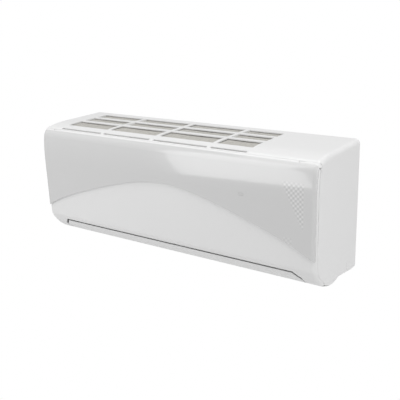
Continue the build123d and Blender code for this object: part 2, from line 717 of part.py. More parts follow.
# ---- Fan ----
def cross_flow_fan():
    """Long bladed wheel with stiffening rings and two closed ends with hubs."""
    blades = Sketch()
    for index in range(BLADES):
        turn = Rot(0, 0, index * 360 / BLADES)
        blade = turn * Pos(BLADE_MID_R, 0) * Rot(0, 0, 32) * Rectangle(BLADE_L, BLADE_T)
        blades += Pos(*FAN_C) * blade
    wheel = along_x(blades, FAN_LEFT + FAN_DISC_T / 2, FAN_RIGHT - FAN_DISC_T / 2)
    ring = Pos(*FAN_C) * (Circle(FAN_R) - Circle(BLADE_INNER_R - 1.5))
    count = round((FAN_RIGHT - FAN_LEFT) / FAN_DISC_PITCH)
    for index in range(1, count):
        x = FAN_LEFT + index * FAN_DISC_PITCH
        wheel += along_x(ring, x, x + FAN_DISC_T)
    wheel += rod_x(FAN_C, FAN_R, FAN_LEFT, FAN_LEFT + FAN_DISC_T)
    wheel += rod_x(FAN_C, FAN_R, FAN_RIGHT - FAN_DISC_T, FAN_RIGHT)
    wheel += rod_x(FAN_C, HUB_R, FAN_LEFT, FAN_LEFT + HUB_L)
    wheel += rod_x(FAN_C, HUB_R, FAN_RIGHT - HUB_L, FAN_RIGHT)
    wheel -= rod_x(FAN_C, SHAFT_R + PRESS_FIT, FAN_LEFT - 1, FAN_LEFT + HUB_L - 2)
    wheel -= rod_x(FAN_C, SHAFT_R + PRESS_FIT, FAN_RIGHT - HUB_L + 2, FAN_RIGHT + 1)
    return wheel


def fan_shaft():
    """Steel stub at the left end of the wheel."""
    return rod_x(FAN_C, SHAFT_R, CHAMBER_LEFT - WALL - 3, FAN_LEFT + HUB_L - 3)


def motor_shaft():
    """Shaft that the motor drives the wheel with."""
    return rod_x(FAN_C, SHAFT_R, FAN_RIGHT - HUB_L + 3, MOTOR_LEFT + 12)


def fan_bearing():
    """Bush in a rubber ring, seated in the left bulkhead."""
    ring = Pos(*FAN_C) * (Circle(BEARING_R) - Circle(SHAFT_R + SHAFT_FIT))
    flange = Pos(*FAN_C) * (Circle(BEARING_R + 3) - Circle(SHAFT_R + SHAFT_FIT))
    bush = along_x(ring, CHAMBER_LEFT - WALL - 2, CHAMBER_LEFT)
    return bush + along_x(flange, CHAMBER_LEFT, CHAMBER_LEFT + 2)


def fan_motor():
    """Round motor with a boss at each end."""
    motor = rod_x(FAN_C, MOTOR_R, MOTOR_LEFT, MOTOR_RIGHT)
    motor = chamfer(motor.edges().filter_by(GeomType.CIRCLE), 4)
    motor += rod_x(FAN_C, MOTOR_BOSS_R, CHAMBER_RIGHT + 0.5, MOTOR_LEFT + 1)
    motor += rod_x(FAN_C, MOTOR_BOSS_R, MOTOR_RIGHT - 1, SADDLE_X[1] + 1)
    return motor - rod_x(FAN_C, SHAFT_R + SHAFT_FIT, CHAMBER_RIGHT, MOTOR_LEFT + 14)


def motor_clamp():
    """Half ring over the motor's right boss."""
    top = block(SADDLE_X, (FAN_C[0] - 27, FAN_C[0] + 27), (FAN_C[1] + SEAT, FAN_C[1] + 27))
    top -= rod_x(FAN_C, MOTOR_BOSS_R + SEAT, 200, 400)
    for y in CLAMP_SCREW_Y:
        top -= clamp_screw_hole(y)
    return top


def clamp_screw_hole(y):
    """Upright hole for one clamp screw."""
    return Pos(sum(SADDLE_X) / 2, y, FAN_C[1]) * Cylinder(1.6, 80)


def motor_clamp_screws():
    """The two screws that hold the clamp down."""
    screws = []
    top = FAN_C[1] + 27
    for y in CLAMP_SCREW_Y:
        head = Pos(sum(SADDLE_X) / 2, y, top + 1) * Cylinder(2.8, 2)
        screws.append(head + Pos(sum(SADDLE_X) / 2, y, top - 19.5) * Cylinder(1.5, 41))
    return screws


# ---- Evaporator ----
def tube_count(coil):
    """Number of tubes in each row of one fin pack."""
    return round(coil[2] / TUBE_PITCH)


def coil_frame(coil):
    """Inner corner, run direction and outward direction of one fin pack."""
    corner, angle = coil[:2]
    run = (math.cos(math.radians(angle)), math.sin(math.radians(angle)))
    out = (-run[1], run[0]) if coil is not REAR_COIL else (run[1], -run[0])
    return corner, run, out


def in_coil(coil, along, out):
    """Side-section point inside one fin pack's own directions."""
    corner, run, side = coil_frame(coil)
    return (corner[0] + along * run[0] + out * side[0], corner[1] + along * run[1] + out * side[1])


def coil_section(coil):
    """Side section of one fin pack."""
    length = coil[2]
    return polygon(in_coil(coil, 0, 0), in_coil(coil, length, 0),
                   in_coil(coil, length, COIL_T), in_coil(coil, 0, COIL_T))


def coil_block(coil):
    """Fin pack between its two end plates."""
    return along_x(coil_section(coil), COIL_LEFT, COIL_RIGHT)


def coil_end_plates():
    """Sheet-metal plates at both ends of each fin pack."""
    plates = []
    for coil in (LOWER_COIL, UPPER_COIL, REAR_COIL):
        plates.append(along_x(coil_section(coil), COIL_LEFT - COIL_PLATE_T, COIL_LEFT))
        plates.append(along_x(coil_section(coil), COIL_RIGHT, COIL_RIGHT + COIL_PLATE_T))
    return plates


def return_bends():
    """Half-round copper bends that join the two tube rows at each end."""
    bends = []
    for coil in (LOWER_COIL, UPPER_COIL, REAR_COIL):
        run = coil_frame(coil)[1]
        pitch = coil[2] / tube_count(coil)
        for index in range(tube_count(coil)):
            center = in_coil(coil, (index + 0.5) * pitch, COIL_T / 2)
            for side in (-1, 1):
                if side > 0 and coil is REAR_COIL and index == 0:
                    continue
                face_x = COIL_RIGHT + COIL_PLATE_T if side > 0 else COIL_LEFT - COIL_PLATE_T
                turn = Plane(origin=(face_x, *center), x_dir=(side, 0, 0), z_dir=(0, *run))
                half = Torus(TUBE_ROW / 2, TUBE_R) & (Pos(20, 0, 0) * Box(40, 60, 60))
                bends.append(turn * half)
    return bends


def pipe_start(row):
    """Side-section place where one pipe leaves the lowest tubes of the rear fin pack."""
    pitch = REAR_COIL[2] / tube_count(REAR_COIL)
    return in_coil(REAR_COIL, pitch / 2, COIL_T / 2 + row * TUBE_ROW / 2)


def pipe(row, drop_z, radius):
    """Pipe from the rear fin pack, down beside the motor and back behind the guide."""
    y, z = pipe_start(row)
    path = FilletPolyline((COIL_RIGHT + COIL_PLATE_T, y, z), (PIPE_DOWN_X, y, z), (PIPE_DOWN_X, y, drop_z),
                          (PIPE_END_X + UNION_L + UNION_HEX_L - UNION_SOCKET, y, drop_z), radius=PIPE_BEND)
    start_face = Plane(origin=path @ 0, z_dir=path % 0) * Circle(radius)
    return sweep(start_face, path=path)


def flare_union(row, z, radius, thread_r, flats):
    """Fitting soldered on a pipe: a hexagon, and the male end with its cone nose."""
    y = pipe_start(row)[0]
    bore_r = radius - PIPE_WALL
    hex_start = PIPE_END_X + UNION_L
    hex_end = hex_start + UNION_HEX_L
    body = rod_x((y, z), thread_r, PIPE_END_X, hex_start + 1)
    body += along_x(Pos(y, z) * RegularPolygon(flats / 2, 6, major_radius=False), hex_start, hex_end)
    nose = Cone(bore_r + 0.5, thread_r - 1, UNION_NOSE_L)
    body += Pos(PIPE_END_X - UNION_NOSE_L / 2, y, z) * Rot(0, 90, 0) * nose
    body -= rod_x((y, z), bore_r, PIPE_END_X - UNION_NOSE_L - 1, hex_end)
    return body - rod_x((y, z), radius + PRESS_FIT, hex_end - UNION_SOCKET, hex_end + 1)


def pipe_clamp():
    """Block on the chassis that holds both pipes."""
    pipes = ((LIQUID_ROW, LIQUID_LOW, LIQUID_R), (SUCTION_ROW, SUCTION_LOW, SUCTION_R))
    front = pipe_start(LIQUID_ROW)[0] - 13.3
    clamp = block(CLAMP_X, (front, BACK_SHEET_Y), (LIQUID_LOW - 8, SUCTION_LOW + 8))
    for row, z, radius in pipes:
        clamp -= rod_x((pipe_start(row)[0], z), radius + 0.2, CLAMP_X[0] - 1, CLAMP_X[1] + 1)
    return clamp


# ---- Drain pan ----
def spout_places():
    """X place of the elbow at each end of the pan, and the inner end of its bore."""
    left = (CHAMBER_LEFT - WALL - ELBOW_W / 2, CHAMBER_LEFT + 1)
    right = (CHAMBER_RIGHT + WALL + ELBOW_W / 2, CHAMBER_RIGHT - 1)
    return (left, right)


def drain_elbow(x, inner):
    """Corner block outside the pan's end wall with a spout towards the back, and its bores."""
    center = (PAN_FRONT + PAN_BACK) / 2
    face = center + ELBOW_L / 2
    span_x = (x - ELBOW_W / 2, x + ELBOW_W / 2)
    body = block(span_x, (center - ELBOW_L / 2, face), (PAN_BOTTOM, SPOUT_Z + SPOUT_R + 1))
    body += rod_y(x, SPOUT_Z, SPOUT_R, face - 1, face + SPOUT_L)
    bores = rod_y(x, SPOUT_Z, SPOUT_BORE_R, center, face + SPOUT_L + 1)
    bores += rod_x((center, SPOUT_Z), SPOUT_BORE_R, *sorted((x, inner)))
    return body, bores


def drain_pan():
    """Trough under the front fin pack, with the stabiliser nose and a drain elbow at each end."""
    left, right = CHAMBER_LEFT - WALL, CHAMBER_RIGHT + WALL
    pan = block((left, right), (PAN_FRONT, PAN_BACK), (PAN_BOTTOM, PAN_TOP))
    room_y = (PAN_FRONT + SHEET, PAN_BACK - SHEET)
    pan -= block((CHAMBER_LEFT, CHAMBER_RIGHT), room_y, (PAN_BOTTOM + SHEET, PAN_TOP + 1))
    pan += block((left, right), (PAN_BACK - SHEET, PAN_BACK), (PAN_BOTTOM, PAN_TOP + 8))
    nose = polygon((PAN_BACK - 1, PAN_TOP + 8), (PAN_BACK + 5.5, PAN_TOP + 11), (PAN_BACK + 2.5, PAN_TOP),
                   (PAN_BACK - 1, PAN_TOP - 8))
    pan += along_x(nose, CHAMBER_LEFT + SEAT, CHAMBER_RIGHT - SEAT)
    coil_y, coil_z = LOWER_COIL[0]
    for x in COIL_REST_X:
        pan += block((x, x + WALL), (coil_y - COIL_T, coil_y), (PAN_BOTTOM + 1, coil_z - SEAT))
    for x, inner in spout_places():
        body, bores = drain_elbow(x, inner)
        pan = pan + body - bores
    return pan


def drain_plug():
    """Rubber plug in the spare spout."""
    x = spout_places()[0][0]
    tip = (PAN_FRONT + PAN_BACK) / 2 + ELBOW_L / 2 + SPOUT_L
    plug = rod_y(x, SPOUT_Z, SPOUT_BORE_R - 0.1, tip - 8, tip + 1)
    return plug + rod_y(x, SPOUT_Z, SPOUT_R + 1.5, tip, tip + 3)


# ---- Vanes ----
def vane_positions(group):
    """Pivot places along X of one group of vanes."""
    first = VANE_GROUP_X[group] - VANE_PITCH * (VANES_PER_GROUP - 1) / 2
    return [first + index * VANE_PITCH for index in range(VANES_PER_GROUP)]


def vane(x):
    """Upright blade with its pivot pin, and the small pin that the link bar holds."""
    base = CARRIER_LIFT + CARRIER_H + VANE_BASE
    top = base + VANE_TOP
    section = polygon(in_flow(-VANE_BACK, base + 6), in_flow(-VANE_BACK + 8, base),
                      in_flow(VANE_FRONT, base), in_flow(VANE_FRONT, top),
                      in_flow(-VANE_BACK + 8, top), in_flow(-VANE_BACK, top - 10))
    section -= flow_box((-VANE_BACK - 1, -LINK_CLEAR), (LINK_HEIGHT - 4, LINK_HEIGHT + 4))
    blade = along_x(section, x - VANE_T / 2, x + VANE_T / 2)
    blade += flow_rod(x, 0, VANE_PIN_R, (CARRIER_LIFT + 1, base + 2))
    return blade + flow_rod(x, -LINK_AT, LINK_PIN_R, (LINK_HEIGHT - 5, LINK_HEIGHT + 5))


def vane_carriers():
    """Strips on the rear guide that hold the vanes' pivot pins."""
    strips = []
    for group in range(len(VANE_GROUP_X)):
        places = vane_positions(group)
        section = flow_box((-CARRIER_W / 2, CARRIER_W / 2), (CARRIER_LIFT, CARRIER_LIFT + CARRIER_H))
        strip = along_x(section, places[0] - 10, places[-1] + 10)
        for x in places:
            strip -= flow_rod(x, 0, VANE_PIN_R + PIN_FIT, (-2, 20))
        strips.append(strip)
    return strips


def link_bar(group):
    """Bar that turns one group of vanes together, slotted for their small pins."""
    places = vane_positions(group)
    rise = LINK_AT * (1 - math.cos(math.radians(VANE_SWING)))
    span = (-LINK_AT - 5, -LINK_AT + 1 + rise)
    section = flow_box(span, (LINK_HEIGHT - LINK_T / 2, LINK_HEIGHT + LINK_T / 2))
    bar = along_x(section, places[0] - 7, places[-1] + 7)
    reach = LINK_PIN_R + LINK_PLAY
    slot_span = (-LINK_AT - reach + 0.3, -LINK_AT + rise + reach - 0.3)
    slot = flow_box(slot_span, (LINK_HEIGHT - 5, LINK_HEIGHT + 5))
    for x in places:
        bar -= along_x(slot, x - reach, x + reach)
    return bar


# ---- Electrical parts ----
def electrical_box():
    """Open tray for the control board, with four bosses."""
    tray = block((BOX_LEFT, BOX_RIGHT), (BOX_FRONT, BOX_BACK), (BOX_BOTTOM, BOX_TOP))
    tray -= block((BOX_LEFT + BOX_WALL, BOX_RIGHT - BOX_WALL), (BOX_FRONT - 1, BOX_BACK - BOX_WALL),
                  (BOX_BOTTOM + BOX_WALL, BOX_TOP - BOX_WALL))
    for x in (BOX_LEFT + 10, BOX_RIGHT - 10):
        for z in (BOX_BOTTOM + 32, BOX_TOP - 18):
            tray += rod_y(x, z, 3, BOARD_BACK, BOX_BACK - 1)
    return tray


def electrical_cover():
    """Flat cover with the hole for the emergency button."""
    cover = block((BOX_LEFT, BOX_RIGHT), (BOX_FRONT - COVER_T, BOX_FRONT), (BOX_BOTTOM, BOX_TOP))
    return cover - rod_y(BUTTON_X, BUTTON_Z, BUTTON_R + SEAT, BOX_FRONT - 10, BOX_FRONT + 10)


def control_board():
    """Printed board with its larger components."""
    front = BOARD_BACK - BOARD_T
    board = block((BOX_LEFT + 6, BOX_RIGHT - 6), (front, BOARD_BACK), (BOX_BOTTOM + 26, BOX_TOP - 12))
    board += block((BUTTON_X - 4, BUTTON_X + 4), (BUTTON_SWITCH_Y, front), (BUTTON_Z - 4, BUTTON_Z + 4))
    board += block((BOX_LEFT + 12, BOX_LEFT + 36), (front - 18, front), (BOX_TOP - 52, BOX_TOP - 22))
    for x in (BOX_RIGHT - 20, BOX_RIGHT - 36):
        board += rod_y(x, BOX_TOP - 34, 6, front - 20, front)
    for z in (BOX_BOTTOM + 38, BOX_BOTTOM + 74):
        board += block((BOX_LEFT + 10, BOX_LEFT + 28), (front - 14, front), (z, z + 16))
    return board


def terminal_block():
    """Mains terminal block on the floor of the tray."""
    floor = BOX_BOTTOM + BOX_WALL
    middle = BOX_FRONT + 20
    body = block((BOX_LEFT + 14, BOX_RIGHT - 16), (middle - 8, middle + 8), (floor, floor + 14))
    for x in TERMINAL_X:
        body -= Pos(x, middle, floor + 14) * Cylinder(2.7, 12)
    return body


def terminal_screws():
    """Clamping screws of the terminal block."""
    top = BOX_BOTTOM + BOX_WALL + 14
    return [Pos(x, BOX_FRONT + 20, top - 2.5) * Cylinder(2.4, 7) for x in TERMINAL_X]


def emergency_button():
    """Push button for running the unit without its remote."""
    cap = rod_y(BUTTON_X, BUTTON_Z, BUTTON_R, BOX_FRONT - 6, BUTTON_SWITCH_Y - BUTTON_TRAVEL - SEAT)
    inner = BOX_FRONT + SEAT
    return cap + rod_y(BUTTON_X, BUTTON_Z, BUTTON_R + 2, inner, inner + 1.2)


# ---- Chassis and wall plate ----
def chassis_outline(inset):
    """Back view of the chassis rim, moved in by inset."""
    top = TOP - SKIN - SEAT
    corner_r = EDGE_R - SKIN - SEAT
    width = 2 * (CHASSIS_HALF - inset)
    return Pos(0, (top + BOTTOM) / 2) * RectangleRounded(width, top - BOTTOM - 2 * inset, corner_r - inset)


def bottom_skin(y_start, y_end, x_start, x_end):
    """Part of the cabinet's bottom skin."""
    skin = cabinet_face(FASCIA_STEP) - cabinet_face(FASCIA_STEP + SKIN, 5)
    low, high = BOTTOM - 20, BOTTOM + 50
    strip = skin & polygon((y_start, low), (y_end, low), (y_end, high), (y_start, high))
    return along_x(strip, x_start, x_end) & rounded_hull(FASCIA_STEP, HALF_W, EDGE_R)


def rear_chassis():
    """Back sheet with its rim, the sill under the outlet, the rear trough and the motor saddle."""
    sheet_front = BACK_SHEET_Y + BACK_SHEET_T
    chassis = along_y(chassis_outline(0), BACK_SHEET_Y, sheet_front)
    chassis += along_y(chassis_outline(0) - chassis_outline(RIM_T), BACK_SHEET_Y, 0)
    chassis += bottom_skin(SILL_Y, -1, -CHASSIS_HALF, CHASSIS_HALF)
    for part in both_sides(bottom_skin(WRAP_END_Y, SILL_Y + 1, OUTLET_HALF + WALL + SEAT, CHASSIS_HALF)):
        chassis += part
    chassis += block((CHAMBER_LEFT + SEAT, CHAMBER_RIGHT - SEAT), (TROUGH_FRONT, sheet_front), TROUGH_Z)
    for x in COIL_REST_X:
        rest_y = (REAR_FOOT[0] - 3.6, REAR_FOOT[0] + 2.4)
        chassis += block((x, x + WALL), rest_y, (TROUGH_Z[0] + 1, REAR_FOOT[1] - SEAT - 0.4))
    saddle = block(SADDLE_X, (BOX_BACK + SEAT, sheet_front), (BOX_BOTTOM, FAN_C[1]))
    saddle -= rod_x(FAN_C, MOTOR_BOSS_R + SEAT, 200, 400)
    for y in CLAMP_SCREW_Y:
        saddle -= clamp_screw_hole(y)
    chassis += saddle
    slot_z = (HOOK_Z - 7, HOOK_Z + HOOK_T + SEAT)
    for slot in both_sides(block((HOOK_X - 1, HOOK_X + HOOK_W + 1), (-12, -6), slot_z)):
        chassis -= slot
    return chassis - block(PIPE_EXIT_X, (-12, -6), PIPE_EXIT_Z)


def wall_plate():
    """Steel plate screwed to the wall, with two hooks that the chassis hangs on."""
    sheet = RectangleRounded(2 * PLATE_HALF, PLATE_TOP - PLATE_BOTTOM, 12)
    sheet = Pos(0, (PLATE_TOP + PLATE_BOTTOM) / 2) * sheet
    for x in (-SCREW_SPAN_X / 2, SCREW_SPAN_X / 2):
        for z in (-SCREW_SPAN_Z / 2, SCREW_SPAN_Z / 2):
            sheet -= Pos(x, z) * Circle(SCREW_HOLE_R)
    plate_solid = along_y(sheet, -PLATE_T, 0)
    front = BACK_SHEET_Y - SEAT - HOOK_LIP_T
    tab = block((HOOK_X, HOOK_X + HOOK_W), (front, -PLATE_T), (HOOK_Z, HOOK_Z + HOOK_T))
    tab += block((HOOK_X, HOOK_X + HOOK_W), (front, front + HOOK_LIP_T), (HOOK_Z, HOOK_Z + 9))
    for hook in both_sides(tab):
        plate_solid += hook
    return plate_solid


def build():
    """Make every piece and write it."""
    shell = casing_shell()
    save(casing_top(shell), "casing_top")
    save(casing_end(shell, 1), "casing_end_right")
    save(casing_end(shell, -1), "casing_end_left")
    save(front_rail(), "front_rail")
    save(casing_screws(), "casing_screws")
    save(filter_guides(), "filter_guides")
    for name, x_range in (("left", FILTER_LEFT), ("right", FILTER_RIGHT)):
        save(filter_frame(x_range), f"filter_frame_{name}")
        save(filter_mesh(x_range), f"filter_mesh_{name}")
    save(front_panel(), "front_panel")
    save(panel_fascia(), "panel_fascia")
    save(indicator_lens(), "indicator_lens")
    save(display_board(), "display_board")
    save(louver(), "louver")
    save(louver_motor(), "louver_motor")
    save(rear_air_guide(), "rear_air_guide")
    save(front_air_guide(), "front_air_guide")
    save(bulkhead(CHAMBER_LEFT - WALL, BEARING_R + SEAT), "bulkhead_left")
    save(bulkhead(CHAMBER_RIGHT, MOTOR_BOSS_R + SEAT), "bulkhead_right")
    save(both_sides(outlet_end()), "outlet_end_walls")
    save(cross_flow_fan(), "cross_flow_fan")
    save(fan_shaft(), "fan_shaft")
    save(motor_shaft(), "motor_shaft")
    save(fan_bearing(), "fan_bearing")
    save(fan_motor(), "fan_motor")
    save(motor_clamp(), "motor_clamp")
    save(motor_clamp_screws(), "motor_clamp_screws")
    save(coil_block(LOWER_COIL), "evaporator_front_lower")
    save(coil_block(UPPER_COIL), "evaporator_front_upper")
    save(coil_block(REAR_COIL), "evaporator_rear")
    save(coil_end_plates(), "evaporator_end_plates")
    save(return_bends(), "evaporator_return_bends")
    save(pipe(LIQUID_ROW, LIQUID_LOW, LIQUID_R), "liquid_pipe")
    save(pipe(SUCTION_ROW, SUCTION_LOW, SUCTION_R), "suction_pipe")
    save([flare_union(LIQUID_ROW, LIQUID_LOW, LIQUID_R, LIQUID_THREAD_R, LIQUID_FLATS),
          flare_union(SUCTION_ROW, SUCTION_LOW, SUCTION_R, SUCTION_THREAD_R, SUCTION_FLATS)], "flare_unions")
    save(pipe_clamp(), "pipe_clamp")
    save(drain_pan(), "drain_pan")
    save(drain_plug(), "drain_plug")
    save(vane_carriers(), "vane_carriers")
    for group in range(len(VANE_GROUP_X)):
        side = ("left", "right")[group]
        save(link_bar(group), f"link_bar_{side}")
        for index, x in enumerate(vane_positions(group)):
            save(vane(x), f"vane_{side}_{index + 1}")
    save(electrical_box(), "electrical_box")
    save(electrical_cover(), "electrical_cover")
    save(control_board(), "control_board")
    save(terminal_block(), "terminal_block")
    save(terminal_screws(), "terminal_screws")
    save(emergency_button(), "emergency_button")
    save(rear_chassis(), "rear_chassis")
    save(wall_plate(), "wall_plate")


build()
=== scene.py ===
"""Finishes, fine parts and studio for the mini split indoor unit.

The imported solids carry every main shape.  This script gives each of them its
finish, puts real fins and slotted screws where the solids are plain, adds the
nets under the intake and the trim in the panel's seams, and sets up the camera
and the soft light.  Lengths are in metres, +X to the right as seen from the
room, +Y into the wall, +Z up.
"""
import json
import logging
import math
from collections.abc import Sequence
from dataclasses import dataclass
from enum import Enum

import bmesh
import bpy
from mathutils import Matrix, Vector


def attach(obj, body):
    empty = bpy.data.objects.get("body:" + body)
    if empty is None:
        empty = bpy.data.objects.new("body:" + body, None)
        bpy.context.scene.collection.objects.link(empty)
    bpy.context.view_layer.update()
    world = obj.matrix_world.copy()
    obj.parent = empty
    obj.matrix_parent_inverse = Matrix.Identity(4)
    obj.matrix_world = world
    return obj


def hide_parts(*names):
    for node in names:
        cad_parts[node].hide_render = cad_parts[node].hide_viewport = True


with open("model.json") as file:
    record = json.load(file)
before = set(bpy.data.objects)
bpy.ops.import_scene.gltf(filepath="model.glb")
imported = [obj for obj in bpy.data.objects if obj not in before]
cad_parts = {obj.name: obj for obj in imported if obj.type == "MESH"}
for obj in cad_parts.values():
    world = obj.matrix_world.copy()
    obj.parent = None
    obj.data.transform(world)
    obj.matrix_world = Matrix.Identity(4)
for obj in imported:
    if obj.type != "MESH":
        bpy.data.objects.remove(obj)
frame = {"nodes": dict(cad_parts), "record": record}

log = logging.getLogger("indoor_unit")

Piece = bpy.types.Object
Node = bpy.types.Node
Socket = bpy.types.NodeSocket
Colour = tuple[float, float, float]
Section = Sequence[tuple[float, float]]
Points = list[tuple[float, float, float]]
Plug = Socket | float | int | tuple[float, ...]

WELD = 1e-6
QUARTER_TURN = math.radians(90)
WHITE = (1.0, 1.0, 1.0, 1.0)

# Places of the colour sockets on a Mix node
MIX_FIRST = 6
MIX_SECOND = 7
MIX_RESULT = 2

# Middle of a noise or a cell, and what the shared effects have in every material
MIDDLE = 0.5
GRAIN_DETAIL = 3.0
DRIFT_SCALE = 9.0
DRIFT_DETAIL = 2.0
STREAK_DETAIL = 4.0
STREAK_SHARE = 0.3
SPANGLE_SHARE = 0.55
THREAD_EDGE = (0.72, 0.9)


class Facing(Enum):
    """The way that a screw's head points."""

    ROOM = "room"
    UP = "up"


# ---- node helpers
class Graph:
    """Adds and joins nodes in one shader or geometry tree."""

    def __init__(self, tree: bpy.types.NodeTree) -> None:
        """Keep the tree that the nodes go into."""
        self.tree = tree

    def node(self, kind: str, **settings: object) -> Node:
        """Add a node.

        Args:
            kind: The node's type name.
            settings: Properties to set on it.

        Returns:
            The new node.
        """
        made = self.tree.nodes.new(kind)
        for name, value in settings.items():
            setattr(made, name, value)
        return made

    def join(self, source: Plug, target: Socket) -> None:
        """Link an output to an input, or set the input to a plain value.

        Args:
            source: An output socket or a value.
            target: The input socket.
        """
        if isinstance(source, Socket):
            self.tree.links.new(source, target)
        else:
            target.default_value = source

    def find(self, kind: str) -> Node:
        """Find the node of a kind that a new tree already has."""
        return next(node for node in self.tree.nodes if node.type == kind)

    def math(self, operation: str, *inputs: Plug) -> Socket:
        """Add a Math node.

        Args:
            operation: Its operation.
            inputs: Sockets or numbers for its inputs, in order.

        Returns:
            Its output.
        """
        step = self.node("ShaderNodeMath", operation=operation)
        for source, target in zip(inputs, step.inputs):
            self.join(source, target)
        return step.outputs[0]

    def ramp(self, value: Plug, low: float, high: float, start: float, end: float) -> Socket:
        """Map a value smoothly from one span to another.

        Args:
            value: The value to map.
            low: Where the span starts.
            high: Where the span ends.
            start: Result at low.
            end: Result at high.

        Returns:
            The mapped value, held at both ends.
        """
        step = self.node("ShaderNodeMapRange", interpolation_type="SMOOTHSTEP")
        for source, target in zip((value, low, high, start, end), step.inputs):
            self.join(source, target)
        return step.outputs[0]

    def mix(self, factor: Plug, first: Plug, second: Plug, blend: str = "MIX") -> Socket:
        """Blend two colours.

        Args:
            factor: 0 gives the first, 1 the full blend.
            first: Colour or socket.
            second: Colour or socket.
            blend: How the second is laid over the first.

        Returns:
            The blended colour.
        """
        step = self.node("ShaderNodeMix", data_type="RGBA", blend_type=blend)
        self.join(factor, step.inputs[0])
        for source, target in ((first, step.inputs[MIX_FIRST]), (second, step.inputs[MIX_SECOND])):
            self.join((*source, 1.0) if isinstance(source, tuple) else source, target)
        return step.outputs[MIX_RESULT]

    def split(self, place: Socket) -> list[Socket]:
        """Take a place apart.

        Args:
            place: Socket of the place.

        Returns:
            Its X, Y and Z.
        """
        parts = self.node("ShaderNodeSeparateXYZ")
        self.join(place, parts.inputs[0])
        return list(parts.outputs)


def open_group(name: str, inputs: dict[str, str], outputs: dict[str, str]) -> tuple[Graph, Node, Node]:
    """Start a shader node group with named sockets.

    Args:
        name: The group's name.
        inputs: Socket name to kind, such as Float, Vector or Color.
        outputs: The same for the outputs.

    Returns:
        The graph, its input node and its output node.
    """
    tree = bpy.data.node_groups.new(name, "ShaderNodeTree")
    for way, sockets in (("INPUT", inputs), ("OUTPUT", outputs)):
        for label, kind in sockets.items():
            tree.interface.new_socket(label, in_out=way, socket_type=f"NodeSocket{kind}")
    graph = Graph(tree)
    return graph, graph.node("NodeGroupInput"), graph.node("NodeGroupOutput")


def shared_group(name: str) -> bpy.types.NodeTree:
    """Give a shared effect, built the first time that it is asked for.

    Args:
        name: One of the names in EFFECTS.

    Returns:
        The node group.
    """
    if name not in bpy.data.node_groups:
        EFFECTS[name]()
    return bpy.data.node_groups[name]


def build_moulded_grain() -> None:
    """Fine moulded grain with slow drifts of tone and gloss."""
    graph, given, out = open_group(
        "moulded_grain",
        {"Vector": "Vector", "Colour": "Color", "Grain": "Float", "Drift": "Float",
         "Roughness": "Float", "Spread": "Float"},
        {"Colour": "Color", "Roughness": "Float", "Height": "Float"})
    fine = graph.node("ShaderNodeTexNoise")
    graph.join(given.outputs["Vector"], fine.inputs["Vector"])
    graph.join(given.outputs["Grain"], fine.inputs["Scale"])
    fine.inputs["Detail"].default_value = GRAIN_DETAIL
    slow = graph.node("ShaderNodeTexNoise")
    graph.join(given.outputs["Vector"], slow.inputs["Vector"])
    slow.inputs["Scale"].default_value = DRIFT_SCALE
    slow.inputs["Detail"].default_value = DRIFT_DETAIL
    sway = graph.math("SUBTRACT", slow.outputs[0], MIDDLE)
    tone = graph.math("MULTIPLY_ADD", sway, given.outputs["Drift"], 1.0)
    grey = graph.node("ShaderNodeCombineColor")
    for socket in grey.inputs[:3]:
        graph.join(tone, socket)
    tinted = graph.mix(1.0, given.outputs["Colour"], grey.outputs[0], "MULTIPLY")
    graph.join(tinted, out.inputs["Colour"])
    rough = graph.math("MULTIPLY_ADD", sway, given.outputs["Spread"], given.outputs["Roughness"])
    graph.join(rough, out.inputs["Roughness"])
    graph.join(fine.outputs[0], out.inputs["Height"])


def build_drawn_streaks() -> None:
    """Long fine streaks of rolled or drawn metal, with dull blotches."""
    graph, given, out = open_group(
        "drawn_streaks",
        {"Vector": "Vector", "Colour": "Color", "Dull": "Color", "Stretch": "Vector",
         "Blotch": "Float", "Roughness": "Float", "Spread": "Float"},
        {"Colour": "Color", "Roughness": "Float", "Height": "Float"})
    pull = graph.node("ShaderNodeVectorMath", operation="MULTIPLY")
    graph.join(given.outputs["Vector"], pull.inputs[0])
    graph.join(given.outputs["Stretch"], pull.inputs[1])
    streak = graph.node("ShaderNodeTexNoise")
    graph.join(pull.outputs[0], streak.inputs["Vector"])
    streak.inputs["Scale"].default_value = 1.0
    streak.inputs["Detail"].default_value = STREAK_DETAIL
    blotch = graph.node("ShaderNodeTexVoronoi")
    graph.join(given.outputs["Vector"], blotch.inputs["Vector"])
    graph.join(given.outputs["Blotch"], blotch.inputs["Scale"])
    spangle = graph.node("ShaderNodeSeparateColor")
    graph.join(blotch.outputs["Color"], spangle.inputs[0])
    share = graph.math("MULTIPLY", spangle.outputs[0], SPANGLE_SHARE)
    share = graph.math("MULTIPLY_ADD", streak.outputs[0], STREAK_SHARE, share)
    colour = graph.mix(share, given.outputs["Colour"], given.outputs["Dull"])
    graph.join(colour, out.inputs["Colour"])
    sway = graph.math("SUBTRACT", streak.outputs[0], MIDDLE)
    rough = graph.math("MULTIPLY_ADD", sway, given.outputs["Spread"], given.outputs["Roughness"])
    graph.join(rough, out.inputs["Roughness"])
    graph.join(streak.outputs[0], out.inputs["Height"])


